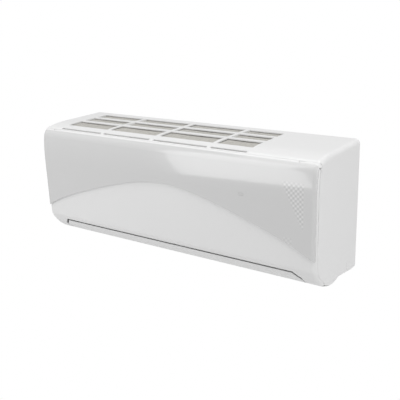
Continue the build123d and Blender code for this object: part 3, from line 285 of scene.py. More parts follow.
@dataclass(frozen=True)
class LatticePlan:
    """Where the diamonds show: a wedge and, more faintly, a small patch below it."""

    inner_foot: float = 0.330
    inner_slope: float = -0.5
    inner_fade: tuple[float, float] = (-0.002, 0.006)
    outer_fade: tuple[float, float] = (0.328, 0.336)
    top_fade: tuple[float, float] = (0.086, 0.098)
    foot_fade: tuple[float, float] = (-0.012, 0.02)
    patch: tuple[float, float] = (0.2985, -0.026)
    patch_fade: tuple[float, float] = (0.008, 0.012)
    patch_strength: float = 0.5
    dot_fade: tuple[float, float] = (0.05, 0.25)

    def dots(self, graph: Graph, across: Socket, up: Socket, pitch: Socket) -> Socket:
        """Cross two sets of slanted steps.

        Args:
            graph: The effect's graph.
            across: Place along X.
            up: Place along Z.
            pitch: Size of a diamond.

        Returns:
            Above 0 in the light diamonds, below 0 in the dark ones.
        """
        steps = []
        for sign in (1.0, -1.0):
            lean = graph.math("MULTIPLY_ADD", up, sign, across)
            cell = graph.math("FRACT", graph.math("DIVIDE", lean, pitch))
            steps.append(graph.math("ABSOLUTE", graph.math("SUBTRACT", cell, MIDDLE)))
        return graph.math("SUBTRACT", *steps)

    def zone(self, graph: Graph, across: Socket, up: Socket) -> Socket:
        """Mask of the places that have diamonds.

        Args:
            graph: The effect's graph.
            across: Place along X.
            up: Place along Z.

        Returns:
            The mask, 0 to 1.
        """
        inner_edge = graph.math("MULTIPLY_ADD", up, self.inner_slope, self.inner_foot)
        inside = graph.ramp(graph.math("SUBTRACT", across, inner_edge), *self.inner_fade, 0.0, 1.0)
        outside = graph.ramp(across, *self.outer_fade, 1.0, 0.0)
        top = graph.ramp(up, *self.top_fade, 1.0, 0.0)
        foot = graph.ramp(up, *self.foot_fade, 0.0, 1.0)
        sides = graph.math("MULTIPLY", inside, outside)
        wedge = graph.math("MULTIPLY", sides, graph.math("MULTIPLY", top, foot))
        offsets = [graph.math("ABSOLUTE", graph.math("SUBTRACT", place, middle))
                   for place, middle in zip((across, up), self.patch)]
        away = graph.math("MAXIMUM", *offsets)
        return graph.math("MAXIMUM", wedge, graph.ramp(away, *self.patch_fade, self.patch_strength, 0.0))


def build_diamond_lattice() -> None:
    """Plain diamond dots near the front's right end."""
    plan = LatticePlan()
    graph, given, out = open_group(
        "diamond_lattice",
        {"Vector": "Vector", "Pitch": "Float"},
        {"Light": "Float", "Dark": "Float"})
    across, _, up = graph.split(given.outputs["Vector"])
    dots = plan.dots(graph, across, up, given.outputs["Pitch"])
    zone = plan.zone(graph, across, up)
    for label, sign in (("Light", 1.0), ("Dark", -1.0)):
        diamond = graph.ramp(graph.math("MULTIPLY", dots, sign), *plan.dot_fade, 0.0, 1.0)
        graph.join(graph.math("MULTIPLY", diamond, zone), out.inputs[label])


def build_woven_net() -> None:
    """Square net of round threads that bends with the filter."""
    graph, given, out = open_group(
        "woven_net",
        {"Vector": "Vector", "Threads": "Float"},
        {"Thread": "Float", "Height": "Float"})
    across, deep, up = graph.split(given.outputs["Vector"])
    ridges = []
    for place in (across, graph.math("SUBTRACT", deep, up)):
        turn = graph.math("MULTIPLY", place, given.outputs["Threads"])
        ridges.append(graph.math("ABSOLUTE", graph.math("SINE", turn)))
    crest = graph.math("MAXIMUM", *ridges)
    graph.join(graph.ramp(crest, *THREAD_EDGE, 0.0, 1.0), out.inputs["Thread"])
    graph.join(crest, out.inputs["Height"])


EFFECTS = {
    "moulded_grain": build_moulded_grain,
    "drawn_streaks": build_drawn_streaks,
    "diamond_lattice": build_diamond_lattice,
    "woven_net": build_woven_net,
}


# ---- finishes
@dataclass(frozen=True)
class Finish:
    """What every finish has: a name, and a Principled shader to feed."""

    name: str

    def start(self) -> tuple[bpy.types.Material, Graph, Node, Socket]:
        """Make the material.

        Returns:
            The material, its graph, its Principled node and the place socket.
        """
        material = bpy.data.materials.new(self.name)
        material.use_nodes = True
        graph = Graph(material.node_tree)
        shader = graph.find("BSDF_PRINCIPLED")
        place = graph.node("ShaderNodeTexCoord").outputs["Object"]
        return material, graph, shader, place

    def effect(self, graph: Graph, name: str, place: Socket, **values: Plug) -> Node:
        """Put a shared effect in this material with its own values.

        Args:
            graph: The material's graph.
            name: The effect's name.
            place: Socket that gives the place on the piece.
            values: The effect's inputs.

        Returns:
            The group node.
        """
        node = graph.node("ShaderNodeGroup", node_tree=shared_group(name))
        graph.join(place, node.inputs["Vector"])
        for label, value in values.items():
            wide = isinstance(value, tuple) and node.inputs[label].type == "RGBA"
            graph.join((*value, 1.0) if wide else value, node.inputs[label])
        return node

    def relief(self, graph: Graph, shader: Node, height: Plug, depth: float, strength: float) -> None:
        """Feed a height into the shader's normal.

        Args:
            graph: The material's graph.
            shader: The Principled node.
            height: The height socket.
            depth: Its full depth in metres.
            strength: How strongly it shows.
        """
        bump = graph.node("ShaderNodeBump")
        bump.inputs["Strength"].default_value = strength
        bump.inputs["Distance"].default_value = depth
        graph.join(height, bump.inputs["Height"])
        graph.join(bump.outputs[0], shader.inputs["Normal"])


@dataclass(frozen=True)
class Moulded(Finish):
    """Moulded plastic or rubber with a fine grain."""

    colour: Colour
    roughness: float = 0.45
    spread: float = 0.08
    drift: float = 0.03
    grain: float = 2600.0
    depth: float = 0.00004
    strength: float = 0.25
    coat: float = 0.0
    coat_roughness: float = 0.1

    def build(self) -> bpy.types.Material:
        """Make the material.

        Returns:
            The finished material.
        """
        material, graph, shader, place = self.start()
        grain = self.grained(graph, place)
        graph.join(self.tint(graph, place, grain.outputs["Colour"]), shader.inputs["Base Color"])
        graph.join(grain.outputs["Roughness"], shader.inputs["Roughness"])
        shader.inputs["Coat Weight"].default_value = self.coat
        shader.inputs["Coat Roughness"].default_value = self.coat_roughness
        self.relief(graph, shader, grain.outputs["Height"], self.depth, self.strength)
        return material

    def grained(self, graph: Graph, place: Socket) -> Node:
        """Put the moulded grain in the material."""
        return self.effect(graph, "moulded_grain", place, Colour=self.colour, Grain=self.grain,
                           Drift=self.drift, Roughness=self.roughness, Spread=self.spread)

    def tint(self, graph: Graph, place: Socket, colour: Socket) -> Socket:
        """Leave the grained colour as it is; other finishes add to it here."""
        return colour


@dataclass(frozen=True)
class LatticeGloss(Moulded):
    """Glossy front sheet with pale and dark diamonds near its right end."""

    pitch: float = 0.0095
    dark: Colour = (0.575, 0.575, 0.575)
    light: Colour = (0.77, 0.77, 0.77)

    def tint(self, graph: Graph, place: Socket, colour: Socket) -> Socket:
        """Lay the lattice over the sheet's colour.

        Args:
            graph: The material's graph.
            place: Socket that gives the place on the piece.
            colour: The grained colour.

        Returns:
            The colour with the lattice on it.
        """
        lattice = self.effect(graph, "diamond_lattice", place, Pitch=self.pitch)
        shaded = graph.mix(lattice.outputs["Dark"], colour, self.dark)
        return graph.mix(lattice.outputs["Light"], shaded, self.light)


@dataclass(frozen=True)
class Zoned(Moulded):
    """Board with fine tracks, whose raised parts towards the room have another colour."""

    zone_y: float = -0.1472
    zone_colour: Colour = (0.05, 0.05, 0.05)
    track: Colour = (0.16, 0.42, 0.24)
    track_scale: float = 140.0
    track_width: float = 0.06

    def tint(self, graph: Graph, place: Socket, colour: Socket) -> Socket:
        """Draw tracks on the board and darken what stands on it.

        Args:
            graph: The material's graph.
            place: Socket that gives the place on the piece.
            colour: The board's colour.

        Returns:
            The colour with tracks and components.
        """
        turned = graph.node("ShaderNodeMapping")
        turned.inputs["Rotation"].default_value = (QUARTER_TURN, 0.0, 0.0)
        graph.join(place, turned.inputs["Vector"])
        bricks = graph.node("ShaderNodeTexBrick")
        graph.join(turned.outputs[0], bricks.inputs["Vector"])
        bricks.inputs["Scale"].default_value = self.track_scale
        bricks.inputs["Mortar Size"].default_value = self.track_width
        tracks = graph.mix(bricks.outputs["Fac"], colour, self.track)
        _, deep, _ = graph.split(place)
        proud = graph.math("LESS_THAN", deep, self.zone_y)
        return graph.mix(proud, tracks, self.zone_colour)


@dataclass(frozen=True)
class NetCloth(Moulded):
    """Woven filter net."""

    threads: float = 3900.0
    gap: Colour = (0.25, 0.24, 0.22)
    depth: float = 0.0002
    strength: float = 0.5

    def build(self) -> bpy.types.Material:
        """Make the material.

        Returns:
            The finished material.
        """
        material, graph, shader, place = self.start()
        net = self.effect(graph, "woven_net", place, Threads=self.threads)
        grain = self.grained(graph, place)
        colour = graph.mix(net.outputs["Thread"], self.gap, grain.outputs["Colour"])
        graph.join(colour, shader.inputs["Base Color"])
        graph.join(grain.outputs["Roughness"], shader.inputs["Roughness"])
        self.relief(graph, shader, net.outputs["Height"], self.depth, self.strength)
        return material


@dataclass(frozen=True)
class Metal(Finish):
    """Rolled, drawn or zinc-coated metal."""

    colour: Colour
    dull: Colour
    stretch: tuple[float, float, float] = (30.0, 900.0, 900.0)
    blotch: float = 60.0
    roughness: float = 0.32
    spread: float = 0.2
    metallic: float = 1.0
    depth: float = 0.00002
    strength: float = 0.3

    def build(self) -> bpy.types.Material:
        """Make the material.

        Returns:
            The finished material.
        """
        material, graph, shader, place = self.start()
        streaks = self.effect(graph, "drawn_streaks", place, Colour=self.colour, Dull=self.dull,
                              Stretch=self.stretch, Blotch=self.blotch,
                              Roughness=self.roughness, Spread=self.spread)
        graph.join(streaks.outputs["Colour"], shader.inputs["Base Color"])
        graph.join(streaks.outputs["Roughness"], shader.inputs["Roughness"])
        shader.inputs["Metallic"].default_value = self.metallic
        self.relief(graph, shader, streaks.outputs["Height"], self.depth, self.strength)
        return material


SHELL = (0.80, 0.80, 0.80)
FINISHES: dict[str, Finish] = {
    "white_shell": Moulded("satin_white_shell", SHELL, roughness=0.36, drift=0.02, coat=0.12),
    "gloss_fascia": LatticeGloss("gloss_lattice_sheet", (0.66, 0.66, 0.66), roughness=0.16, spread=0.04,
                                 drift=0.012, depth=0.000004, coat=0.7, coat_roughness=0.05),
    "smoked_lens": Moulded("pale_window", (0.63, 0.63, 0.63), roughness=0.12, drift=0.04, coat=0.6),
    "white_inner": Moulded("plain_white_moulding", (0.70, 0.70, 0.69), roughness=0.55, drift=0.05),
    "vane_white": Moulded("vane_white", (0.72, 0.72, 0.71), roughness=0.5, drift=0.04),
    "filter_grey": Moulded("filter_frame_grey", (0.47, 0.48, 0.49), roughness=0.5, drift=0.06),
    "mesh_grey": NetCloth("filter_net", (0.58, 0.565, 0.53), roughness=0.7, drift=0.04),
    "fan_grey": Moulded("fan_grey", (0.07, 0.075, 0.08), roughness=0.42, drift=0.12),
    "steel": Metal("turned_steel", (0.55, 0.55, 0.56), (0.32, 0.32, 0.33),
                   stretch=(400.0, 400.0, 400.0)),
    "galvanised": Metal("zinc_coated_sheet", (0.62, 0.64, 0.66), (0.44, 0.46, 0.48),
                        roughness=0.42, blotch=95.0, metallic=0.9),
    "fins": Metal("fin_aluminium", (0.78, 0.79, 0.8), (0.6, 0.61, 0.63),
                  stretch=(900.0, 120.0, 120.0), roughness=0.36),
    "copper": Metal("drawn_copper", (0.78, 0.36, 0.2), (0.38, 0.16, 0.09),
                    stretch=(60.0, 500.0, 500.0), blotch=35.0, roughness=0.28),
    "brass_fitting": Metal("turned_brass", (0.78, 0.56, 0.22), (0.45, 0.3, 0.1),
                           stretch=(700.0, 90.0, 90.0), roughness=0.25),
    "black_rubber": Moulded("black_rubber", (0.02, 0.02, 0.02), roughness=0.75, grain=900.0,
                            depth=0.0001),
    "black_plastic": Moulded("black_moulding", (0.025, 0.025, 0.027), roughness=0.45),
    "motor_grey": Metal("painted_motor_can", (0.3, 0.31, 0.32), (0.22, 0.23, 0.24),
                        roughness=0.45, metallic=0.35, blotch=20.0),
    "box_grey": Moulded("box_moulding", (0.52, 0.52, 0.5), roughness=0.55, drift=0.06),
    "board_green": Zoned("circuit_board", (0.03, 0.14, 0.07), roughness=0.4, drift=0.1),
    "button_grey": Moulded("button_grey", (0.4, 0.4, 0.4), roughness=0.4),
}


class Wardrobe:
    """Builds each finish once and dresses the solids in them."""

    def __init__(self) -> None:
        """Build every finish."""
        self.materials = {slot: finish.build() for slot, finish in FINISHES.items()}

    def wear(self, piece: Piece, slot: str) -> None:
        """Give a piece one finish all over.

        Args:
            piece: The object to dress.
            slot: The material slot's name.
        """
        piece.data.materials.clear()
        piece.data.materials.append(self.materials[slot])
        for face in piece.data.polygons:
            face.material_index = 0

    def dress_nodes(self) -> int:
        """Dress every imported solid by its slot.

        Returns:
            How many were dressed.
        """
        rows = frame["record"]["subparts"]
        for row in rows:
            self.wear(frame["nodes"][row["node"]], row["material_slot"])
        return len(rows)


# ---- fine parts
def finished_mesh(piece: Piece) -> None:
    """Turn a piece with live modifiers into a plain mesh.

    Args:
        piece: The object, which keeps its name and place.
    """
    bpy.context.view_layer.update()
    evaluated = piece.evaluated_get(bpy.context.evaluated_depsgraph_get())
    mesh = bpy.data.meshes.new_from_object(evaluated)
    piece.modifiers.clear()
    piece.data = mesh


def thicken(piece: Piece, thickness: float) -> None:
    """Give a sheet its thickness, half to each side.

    Args:
        piece: The sheet.
        thickness: The whole thickness.
    """
    sheet = piece.modifiers.new("thickness", "SOLIDIFY")
    sheet.thickness = thickness
    sheet.offset = 0.0
    finished_mesh(piece)


def note(piece: Piece) -> None:
    """Log how many faces a finished piece has."""
    log.info("%s: %d faces", piece.name, len(piece.data.polygons))


def new_piece(name: str, mesh: bmesh.types.BMesh) -> Piece:
    """Link a new object made of a bmesh.

    Args:
        name: The piece's name.
        mesh: Its geometry, which is freed.

    Returns:
        The object.
    """
    data = bpy.data.meshes.new(name)
    bmesh.ops.recalc_face_normals(mesh, faces=mesh.faces)
    mesh.to_mesh(data)
    mesh.free()
    piece = bpy.data.objects.new(name, data)
    bpy.context.scene.collection.objects.link(piece)
    return piece


def skin(mesh: bmesh.types.BMesh, rings: list[Points]) -> None:
    """Join rings of points into a bar that is closed at both ends.

    Args:
        mesh: The mesh that the bar goes into.
        rings: Rings with the same number of points, in order along the bar.
    """
    rows = [[mesh.verts.new(point) for point in ring] for ring in rings]
    for near, far in zip(rows, rows[1:]):
        for i in range(len(near)):
            mesh.faces.new((near[i - 1], near[i], far[i], far[i - 1]))
    mesh.faces.new(rows[0])
    mesh.faces.new(rows[-1])


def merged_copy(node: str) -> bmesh.types.BMesh:
    """Copy a solid's mesh, with its loose triangles joined.

    Args:
        node: The solid's name.

    Returns:
        The copy, to be freed by the caller.
    """
    mesh = bmesh.new()
    mesh.from_mesh(frame["nodes"][node].data)
    bmesh.ops.remove_doubles(mesh, verts=mesh.verts, dist=WELD)
    return mesh


def islands(mesh: bmesh.types.BMesh) -> list[list[Vector]]:
    """Points of a mesh, sorted into its separate solids.

    Args:
        mesh: A mesh with its triangles joined.

    Returns:
        One list of points for each solid.
    """
    left = set(mesh.verts)
    found = []
    while left:
        queue = [left.pop()]
        island = []
        while queue:
            vert = queue.pop()
            island.append(vert.co.copy())
            others = {edge.other_vert(vert) for edge in vert.link_edges} & left
            left -= others
            queue += others
        found.append(island)
    return found


class RepeatTree:
    """Geometry tree that repeats a mesh along a line or on points."""

    def __init__(self, name: str) -> None:
        """Start the tree with its fixed sockets.

        Args:
            name: The tree's name.
        """
        self.tree = bpy.data.node_groups.new(name, "GeometryNodeTree")
        self.graph = Graph(self.tree)
        self.sockets: dict[str, str] = {}
        self.tree.interface.new_socket("Geometry", in_out="OUTPUT", socket_type="NodeSocketGeometry")
        self.socket("Geometry", "NodeSocketGeometry")

    def socket(self, label: str, kind: str) -> None:
        """Add an input of a kind and keep its identifier."""
        made = self.tree.interface.new_socket(label, in_out="INPUT", socket_type=kind)
        self.sockets[label] = made.identifier

    def close(self, points: Socket, instance: Socket, given: Node) -> None:
        """Instance on the points, realise, and set the material.

        Args:
            points: Geometry to place on.
            instance: Geometry to place.
            given: The tree's input node.
        """
        graph = self.graph
        placed = graph.node("GeometryNodeInstanceOnPoints")
        graph.join(points, placed.inputs["Points"])
        graph.join(instance, placed.inputs["Instance"])
        real = graph.node("GeometryNodeRealizeInstances")
        graph.join(placed.outputs[0], real.inputs[0])
        paint = graph.node("GeometryNodeSetMaterial")
        graph.join(real.outputs[0], paint.inputs["Geometry"])
        graph.join(given.outputs["Finish"], paint.inputs["Material"])
        graph.join(paint.outputs[0], graph.node("NodeGroupOutput").inputs[0])

    def use(self, piece: Piece, **values: object) -> None:
        """Run the tree on a piece and keep the plain result.

        Args:
            piece: The host object.
            values: The tree's inputs by name.
        """
        modifier = piece.modifiers.new("repeat", "NODES")
        modifier.node_group = self.tree
        for label, value in values.items():
            modifier[self.sockets[label]] = value
        finished_mesh(piece)


def row_tree() -> RepeatTree:
    """Tree that repeats the host along X.

    Returns:
        The tree, with Count, Pitch and Finish inputs.
    """
    made = RepeatTree("row_along_x")
    made.socket("Count", "NodeSocketInt")
    made.socket("Pitch", "NodeSocketFloat")
    made.socket("Finish", "NodeSocketMaterial")
    graph = made.graph
    given = graph.node("NodeGroupInput")
    line = graph.node("GeometryNodeMeshLine", mode="OFFSET")
    graph.join(given.outputs["Count"], line.inputs["Count"])
    step = graph.node("ShaderNodeCombineXYZ")
    graph.join(given.outputs["Pitch"], step.inputs[0])
    graph.join(step.outputs[0], line.inputs["Offset"])
    made.close(line.outputs[0], given.outputs["Geometry"], given)
    return made


def points_tree() -> RepeatTree:
    """Tree that repeats a pattern object on the host's own points.

    Returns:
        The tree, with Pattern and Finish inputs.
    """
    made = RepeatTree("pattern_on_points")
    made.socket("Pattern", "NodeSocketObject")
    made.socket("Finish", "NodeSocketMaterial")
    graph = made.graph
    given = graph.node("NodeGroupInput")
    info = graph.node("GeometryNodeObjectInfo")
    graph.join(given.outputs["Pattern"], info.inputs["Object"])
    made.close(given.outputs["Geometry"], info.outputs["Geometry"], given)
    return made


@dataclass
class FinPack:
    """One pack of thin fins, drawn as its side section in the pack's own directions."""

    node: str
    corner: tuple[float, float]
    angle: float
    length: float
    outward: int
    thickness: float = 0.026
    left: float = -0.300
    right: float = 0.234
    pitch: float = 0.0016
    fin: float = 0.0003
    tooth: float = 0.0012
    teeth: int = 18

    def section(self) -> Section:
        """Side section of one fin, with its waved edges.

        Returns:
            Points in (Y, Z).
        """
        run = Vector((math.cos(math.radians(self.angle)), math.sin(math.radians(self.angle))))
        out = Vector((-run.y, run.x)) * self.outward
        start = Vector(self.corner)
        points = []
        there = range(self.teeth + 1)
        for row, base, inward in ((there, 0.0, 1), (reversed(there), self.thickness, -1)):
            for index in row:
                across = base + inward * self.tooth * (index % 2)
                point = start + run * (self.length * index / self.teeth) + out * across
                points.append((point.x, point.y))
        return points

    def build(self, tree: RepeatTree, wardrobe: Wardrobe) -> Piece:
        """Make the whole pack.

        Args:
            tree: Tree that repeats along X.
            wardrobe: The finishes.

        Returns:
            The pack, in its place.
        """
        mesh = bmesh.new()
        skin(mesh, [[(x, y, z) for y, z in self.section()] for x in (self.left, self.left + self.fin)])
        piece = new_piece(f"{self.node}_fins", mesh)
        count = int((self.right - self.left - self.fin) / self.pitch) + 1
        tree.use(piece, Count=count, Pitch=self.pitch, Finish=wardrobe.materials["fins"])
        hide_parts(self.node)
        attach(piece, "cabinet")
        return piece


@dataclass
class ScrewSet:
    """Slotted screws of one size, placed where the plain solids are."""

    node: str
    facing: Facing
    head_r: float
    head_h: float
    shank_r: float
    segments: int = 20
    dome: Section = ((0.0, 0.0), (0.6, 0.06), (0.92, 0.3), (1.0, 0.45), (1.0, 1.0))
    blade: tuple[float, float, float] = (1.25, 0.28, 0.9)

    def turned(self, length: float) -> Piece:
        """Turn the plain screw about its own axis.

        Args:
            length: Whole length of the screw.

        Returns:
            The screw, with its head's top at the origin and pointing up.
        """
        mesh = bmesh.new()
        rings = [(self.head_r * wide, -self.head_h * low) for wide, low in self.dome]
        rings += [(self.shank_r, -self.head_h), (self.shank_r, -length), (0.0, -length)]
        profile = [mesh.verts.new((radius, 0.0, height)) for radius, height in rings]
        edges = [mesh.edges.new(pair) for pair in zip(profile, profile[1:])]
        bmesh.ops.spin(mesh, geom=profile + edges, cent=(0, 0, 0), axis=(0, 0, 1), dvec=(0, 0, 0),
                       angle=math.tau, steps=self.segments, use_merge=True)
        bmesh.ops.remove_doubles(mesh, verts=mesh.verts, dist=WELD)
        return new_piece(f"{self.node}_pattern", mesh)

    def pattern(self, length: float) -> Piece:
        """Make one screw with its crossed slot, its head's top at the origin.

        Args:
            length: Whole length of the screw.

        Returns:
            The pattern object.
        """
        screw = self.turned(length)
        wide, thick, deep = self.blade
        size = Matrix.Diagonal((self.head_r * wide, self.head_r * thick, self.head_h * deep, 1.0))
        for turn in (0.0, QUARTER_TURN):
            blade = bmesh.new()
            bmesh.ops.create_cube(blade, size=1.0, matrix=Matrix.Rotation(turn, 4, "Z") @ size)
            cutter = new_piece(f"{self.node}_cutter", blade)
            cut = screw.modifiers.new("recess", "BOOLEAN")
            cut.object = cutter
            cut.solver = "EXACT"
            finished_mesh(screw)
            bpy.data.objects.remove(cutter)
        if self.facing is Facing.ROOM:
            screw.data.transform(Matrix.Rotation(QUARTER_TURN, 4, "X"))
        return screw

    def places(self) -> tuple[list[Vector], float]:
        """Head tops and whole length, read from the plain solids.

        Returns:
            The places and the length.
        """
        mesh = merged_copy(self.node)
        boxes = [[Vector(map(end, zip(*island))) for end in (min, max)] for island in islands(mesh)]
        boxes.sort(key=lambda box: tuple(box[0]))
        mesh.free()
        axis = 1 if self.facing is Facing.ROOM else 2
        tops = []
        for low, high in boxes:
            top = (low + high) / 2
            top[axis] = low[axis] if self.facing is Facing.ROOM else high[axis]
            tops.append(top)
        low, high = boxes[0]
        return tops, high[axis] - low[axis]

    def build(self, tree: RepeatTree, wardrobe: Wardrobe) -> Piece:
        """Make the whole set.

        Args:
            tree: Tree that repeats on points.
            wardrobe: The finishes.

        Returns:
            The set, in its place.
        """
        tops, length = self.places()
        pattern = self.pattern(length)
        mesh = bmesh.new()
        for top in tops:
            mesh.verts.new(top)
        piece = new_piece(f"{self.node}_cut_heads", mesh)
        tree.use(piece, Pattern=pattern, Finish=wardrobe.materials["steel"])
        bpy.data.objects.remove(pattern)
        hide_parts(self.node)
        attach(piece, "cabinet")
        return piece


@dataclass
class IntakeNets:
    """Fine net panels stretched close under the intake windows and slots, one for each bay."""

    bays: tuple[tuple[float, float], ...] = (
        (-0.3046, -0.1824), (-0.1736, -0.0424), (-0.0316, 0.1056), (0.1154, 0.1996))
    front: float = -0.1750
    back: float = -0.0195
    height: float = 0.1362
    bend_y: float = -0.130
    bend: float = 2.75
    sag: float = 0.0008
    thickness: float = 0.0004
    cells: tuple[int, int] = (16, 28)

    def lift(self, y: float, along: float, deep: float) -> float:
        """Height at y and at two shares of the bay: it sags, and bends down with the casing."""
        dip = self.sag * math.sin(math.pi * along) * math.sin(math.pi * deep)
        return self.height - dip - self.bend * max(0.0, self.bend_y - y) ** 2

    def row(self, left: float, right: float, deep: float) -> Points:
        """Points across one bay.

        Args:
            left: The bay's left edge.
            right: Its right edge.
            deep: Share of the bay's depth, 0 to 1.

        Returns:
            The points, from left to right.
        """
        y = self.front + (self.back - self.front) * deep
        shares = [step / self.cells[0] for step in range(self.cells[0] + 1)]
        return [(left + (right - left) * share, y, self.lift(y, share, deep)) for share in shares]

    def build(self, wardrobe: Wardrobe) -> None:
        """Make the panels as one piece.

        Args:
            wardrobe: The finishes.
        """
        mesh = bmesh.new()
        across, deep = self.cells
        for left, right in self.bays:
            rows = [[mesh.verts.new(point) for point in self.row(left, right, step / deep)]
                    for step in range(deep + 1)]
            for low, high in zip(rows, rows[1:]):
                for i in range(across):
                    mesh.faces.new((low[i], low[i + 1], high[i + 1], high[i]))
        piece = new_piece("intake_nets", mesh)
        thicken(piece, self.thickness)
        wardrobe.wear(piece, "mesh_grey")
        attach(piece, "cabinet")
        note(piece)


@dataclass
class SeamLip:
    """Thin crest on the panel's hinge bead that fills the groove in front of the casing."""

    hinge: tuple[float, float] = (-0.179413, 0.127225)
    bead_r: float = 0.004
    corner_r: float = 0.0255
    seam_angle: float = 38.0
    root: float = 0.0038
    reach: float = 0.0048
    sink: float = 0.00002
    thinnest: float = 0.0003
    first_turn: float = 5.0
    past_mouth: float = 9.0
    steps: int = 12
    flank: float = 0.3475
    edge_r: float = 0.010
    ear: tuple[float, float] = (0.3144, 0.3256)
    end_angles: tuple[float, ...] = (0.0, 12.0, 24.0, 36.0, 48.0)

    def section(self, drop: float) -> Section:
        """Section of the lip, from the bead's crest to just past the groove's mouth.

        Args:
            drop: How far the cabinet's rounded end has fallen there.

        Returns:
            Points in (Y, Z).
        """
        offset = self.corner_r - self.bead_r
        skin_r = self.corner_r - drop
        mouth = (skin_r ** 2 - self.reach ** 2 - offset ** 2) / (2 * offset * self.reach)
        last_turn = math.degrees(math.acos(mouth)) + self.past_mouth
        arms = []
        for step in range(self.steps + 1):
            turn = self.first_turn + (last_turn - self.first_turn) * step / self.steps
            lean = math.radians(turn)
            skin = math.sqrt(skin_r ** 2 - (offset * math.sin(lean)) ** 2) - offset * math.cos(lean)
            arms.append((turn, min(self.reach, skin - self.sink)))
        arms += [(turn, min(self.root, arm - self.thinnest)) for turn, arm in reversed(arms)]
        angles = [(math.radians(self.seam_angle - turn), arm) for turn, arm in arms]
        return [(self.hinge[0] - arm * math.sin(angle), self.hinge[1] + arm * math.cos(angle))
                for angle, arm in angles]

    def runs(self) -> list[list[tuple[float, float]]]:
        """Stretches of the lip between the hinge ears.

        Returns:
            For each stretch, its places along X with the drop of the rounded end there.
        """
        near, far = self.ear
        ends = [(self.flank + self.edge_r * math.sin(math.radians(angle)),
                 self.edge_r * (1 - math.cos(math.radians(angle)))) for angle in self.end_angles]
        right = [(far, 0.0)] + ends
        left = [(-x, drop) for x, drop in reversed(right)]
        return [left, [(-near, 0.0), (near, 0.0)], right]

    def build(self, wardrobe: Wardrobe) -> None:
        """Make the lip.

        Args:
            wardrobe: The finishes.
        """
        mesh = bmesh.new()
        for run in self.runs():
            skin(mesh, [[(x, y, z) for y, z in self.section(drop)] for x, drop in run])
        piece = new_piece("panel_seam_lip", mesh)
        wardrobe.wear(piece, "white_shell")
        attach(piece, "front_panel")
        note(piece)


@dataclass
class WrapSeal:
    """Thin seal on the panel's wrapped edges that nearly fills the seam with the casing's ends."""

    inner_x: float = 0.3535
    low: float = -0.112
    high: float = 0.1125
    back: float = -0.150
    level: float = 0.02
    proud: float = 0.00035

    def on_edge(self, face: bmesh.types.BMFace) -> bool:
        """Whether a face of the panel looks at the casing's end.

        Args:
            face: The face to judge.

        Returns:
            True for the narrow faces along the wrapped edges.
        """
        middle = face.calc_center_median()
        sideways = abs(face.normal.x) < self.level
        return (sideways and face.normal.y > 0.0 and abs(middle.x) > self.inner_x
                and self.low < middle.z < self.high and middle.y < self.back)

    def build(self, wardrobe: Wardrobe) -> None:
        """Make the seal on both edges.

        Args:
            wardrobe: The finishes.
        """
        mesh = merged_copy("front_panel")
        mesh.normal_update()
        others = [face for face in mesh.faces if not self.on_edge(face)]
        bmesh.ops.delete(mesh, geom=others, context="FACES")
        piece = new_piece("panel_wrap_seal", mesh)
        thicken(piece, 2 * self.proud)
        wardrobe.wear(piece, "white_shell")
        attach(piece, "front_panel")
        note(piece)


@dataclass
class Evaporator:
    """The three fin packs round the fan."""

    packs: tuple[FinPack, ...] = (
        FinPack("evaporator_front_lower", (-0.146, -0.036), 90.0, 0.094, 1),
        FinPack("evaporator_front_upper", (-0.150, 0.0583), 43.0, 0.071, 1, teeth=14),
        FinPack("evaporator_rear", (-0.0384, 0.0362), 129.5, 0.092, -1),
    )

    def build(self, wardrobe: Wardrobe) -> None:
        """Make the packs.

        Args:
            wardrobe: The finishes.
        """
        tree = row_tree()
        for pack in self.packs:
            note(pack.build(tree, wardrobe))


@dataclass
class Fasteners:
    """Every set of screws on the unit."""

    sets: tuple[ScrewSet, ...] = (
        ScrewSet("casing_screws", Facing.ROOM, 0.0032, 0.0019, 0.0016),
        ScrewSet("motor_clamp_screws", Facing.UP, 0.0028, 0.0020, 0.0015),
        ScrewSet("terminal_screws", Facing.UP, 0.0024, 0.0020, 0.0016),
    )

    def build(self, wardrobe: Wardrobe) -> None:
        """Make the sets.

        Args:
            wardrobe: The finishes.
        """
        tree = points_tree()
        for kind in self.sets:
            note(kind.build(tree, wardrobe))


# ---- studio
@dataclass(frozen=True)
class SoftBox:
    """One area light: where it stands, what it faces, its size and its power."""

    name: str
    place: tuple[float, float, float]
    target: tuple[float, float, float]
    width: float
    height: float
    power: float
    roll: float = 0.0

    def hang(self) -> None:
        """Put the light in the scene, seen only in its light and reflections."""
        lamp = bpy.data.lights.new(self.name, "AREA")
        lamp.shape = "RECTANGLE"
        lamp.size = self.width
        lamp.size_y = self.height
        lamp.energy = self.power
        holder = bpy.data.objects.new(self.name, lamp)
        holder.location = self.place
        way = Vector(self.target) - Vector(self.place)
        roll = Matrix.Rotation(math.radians(self.roll), 3, "Z")
        holder.rotation_euler = (way.to_track_quat("-Z", "Y").to_matrix() @ roll).to_euler()
        holder.visible_camera = False
        bpy.context.scene.collection.objects.link(holder)


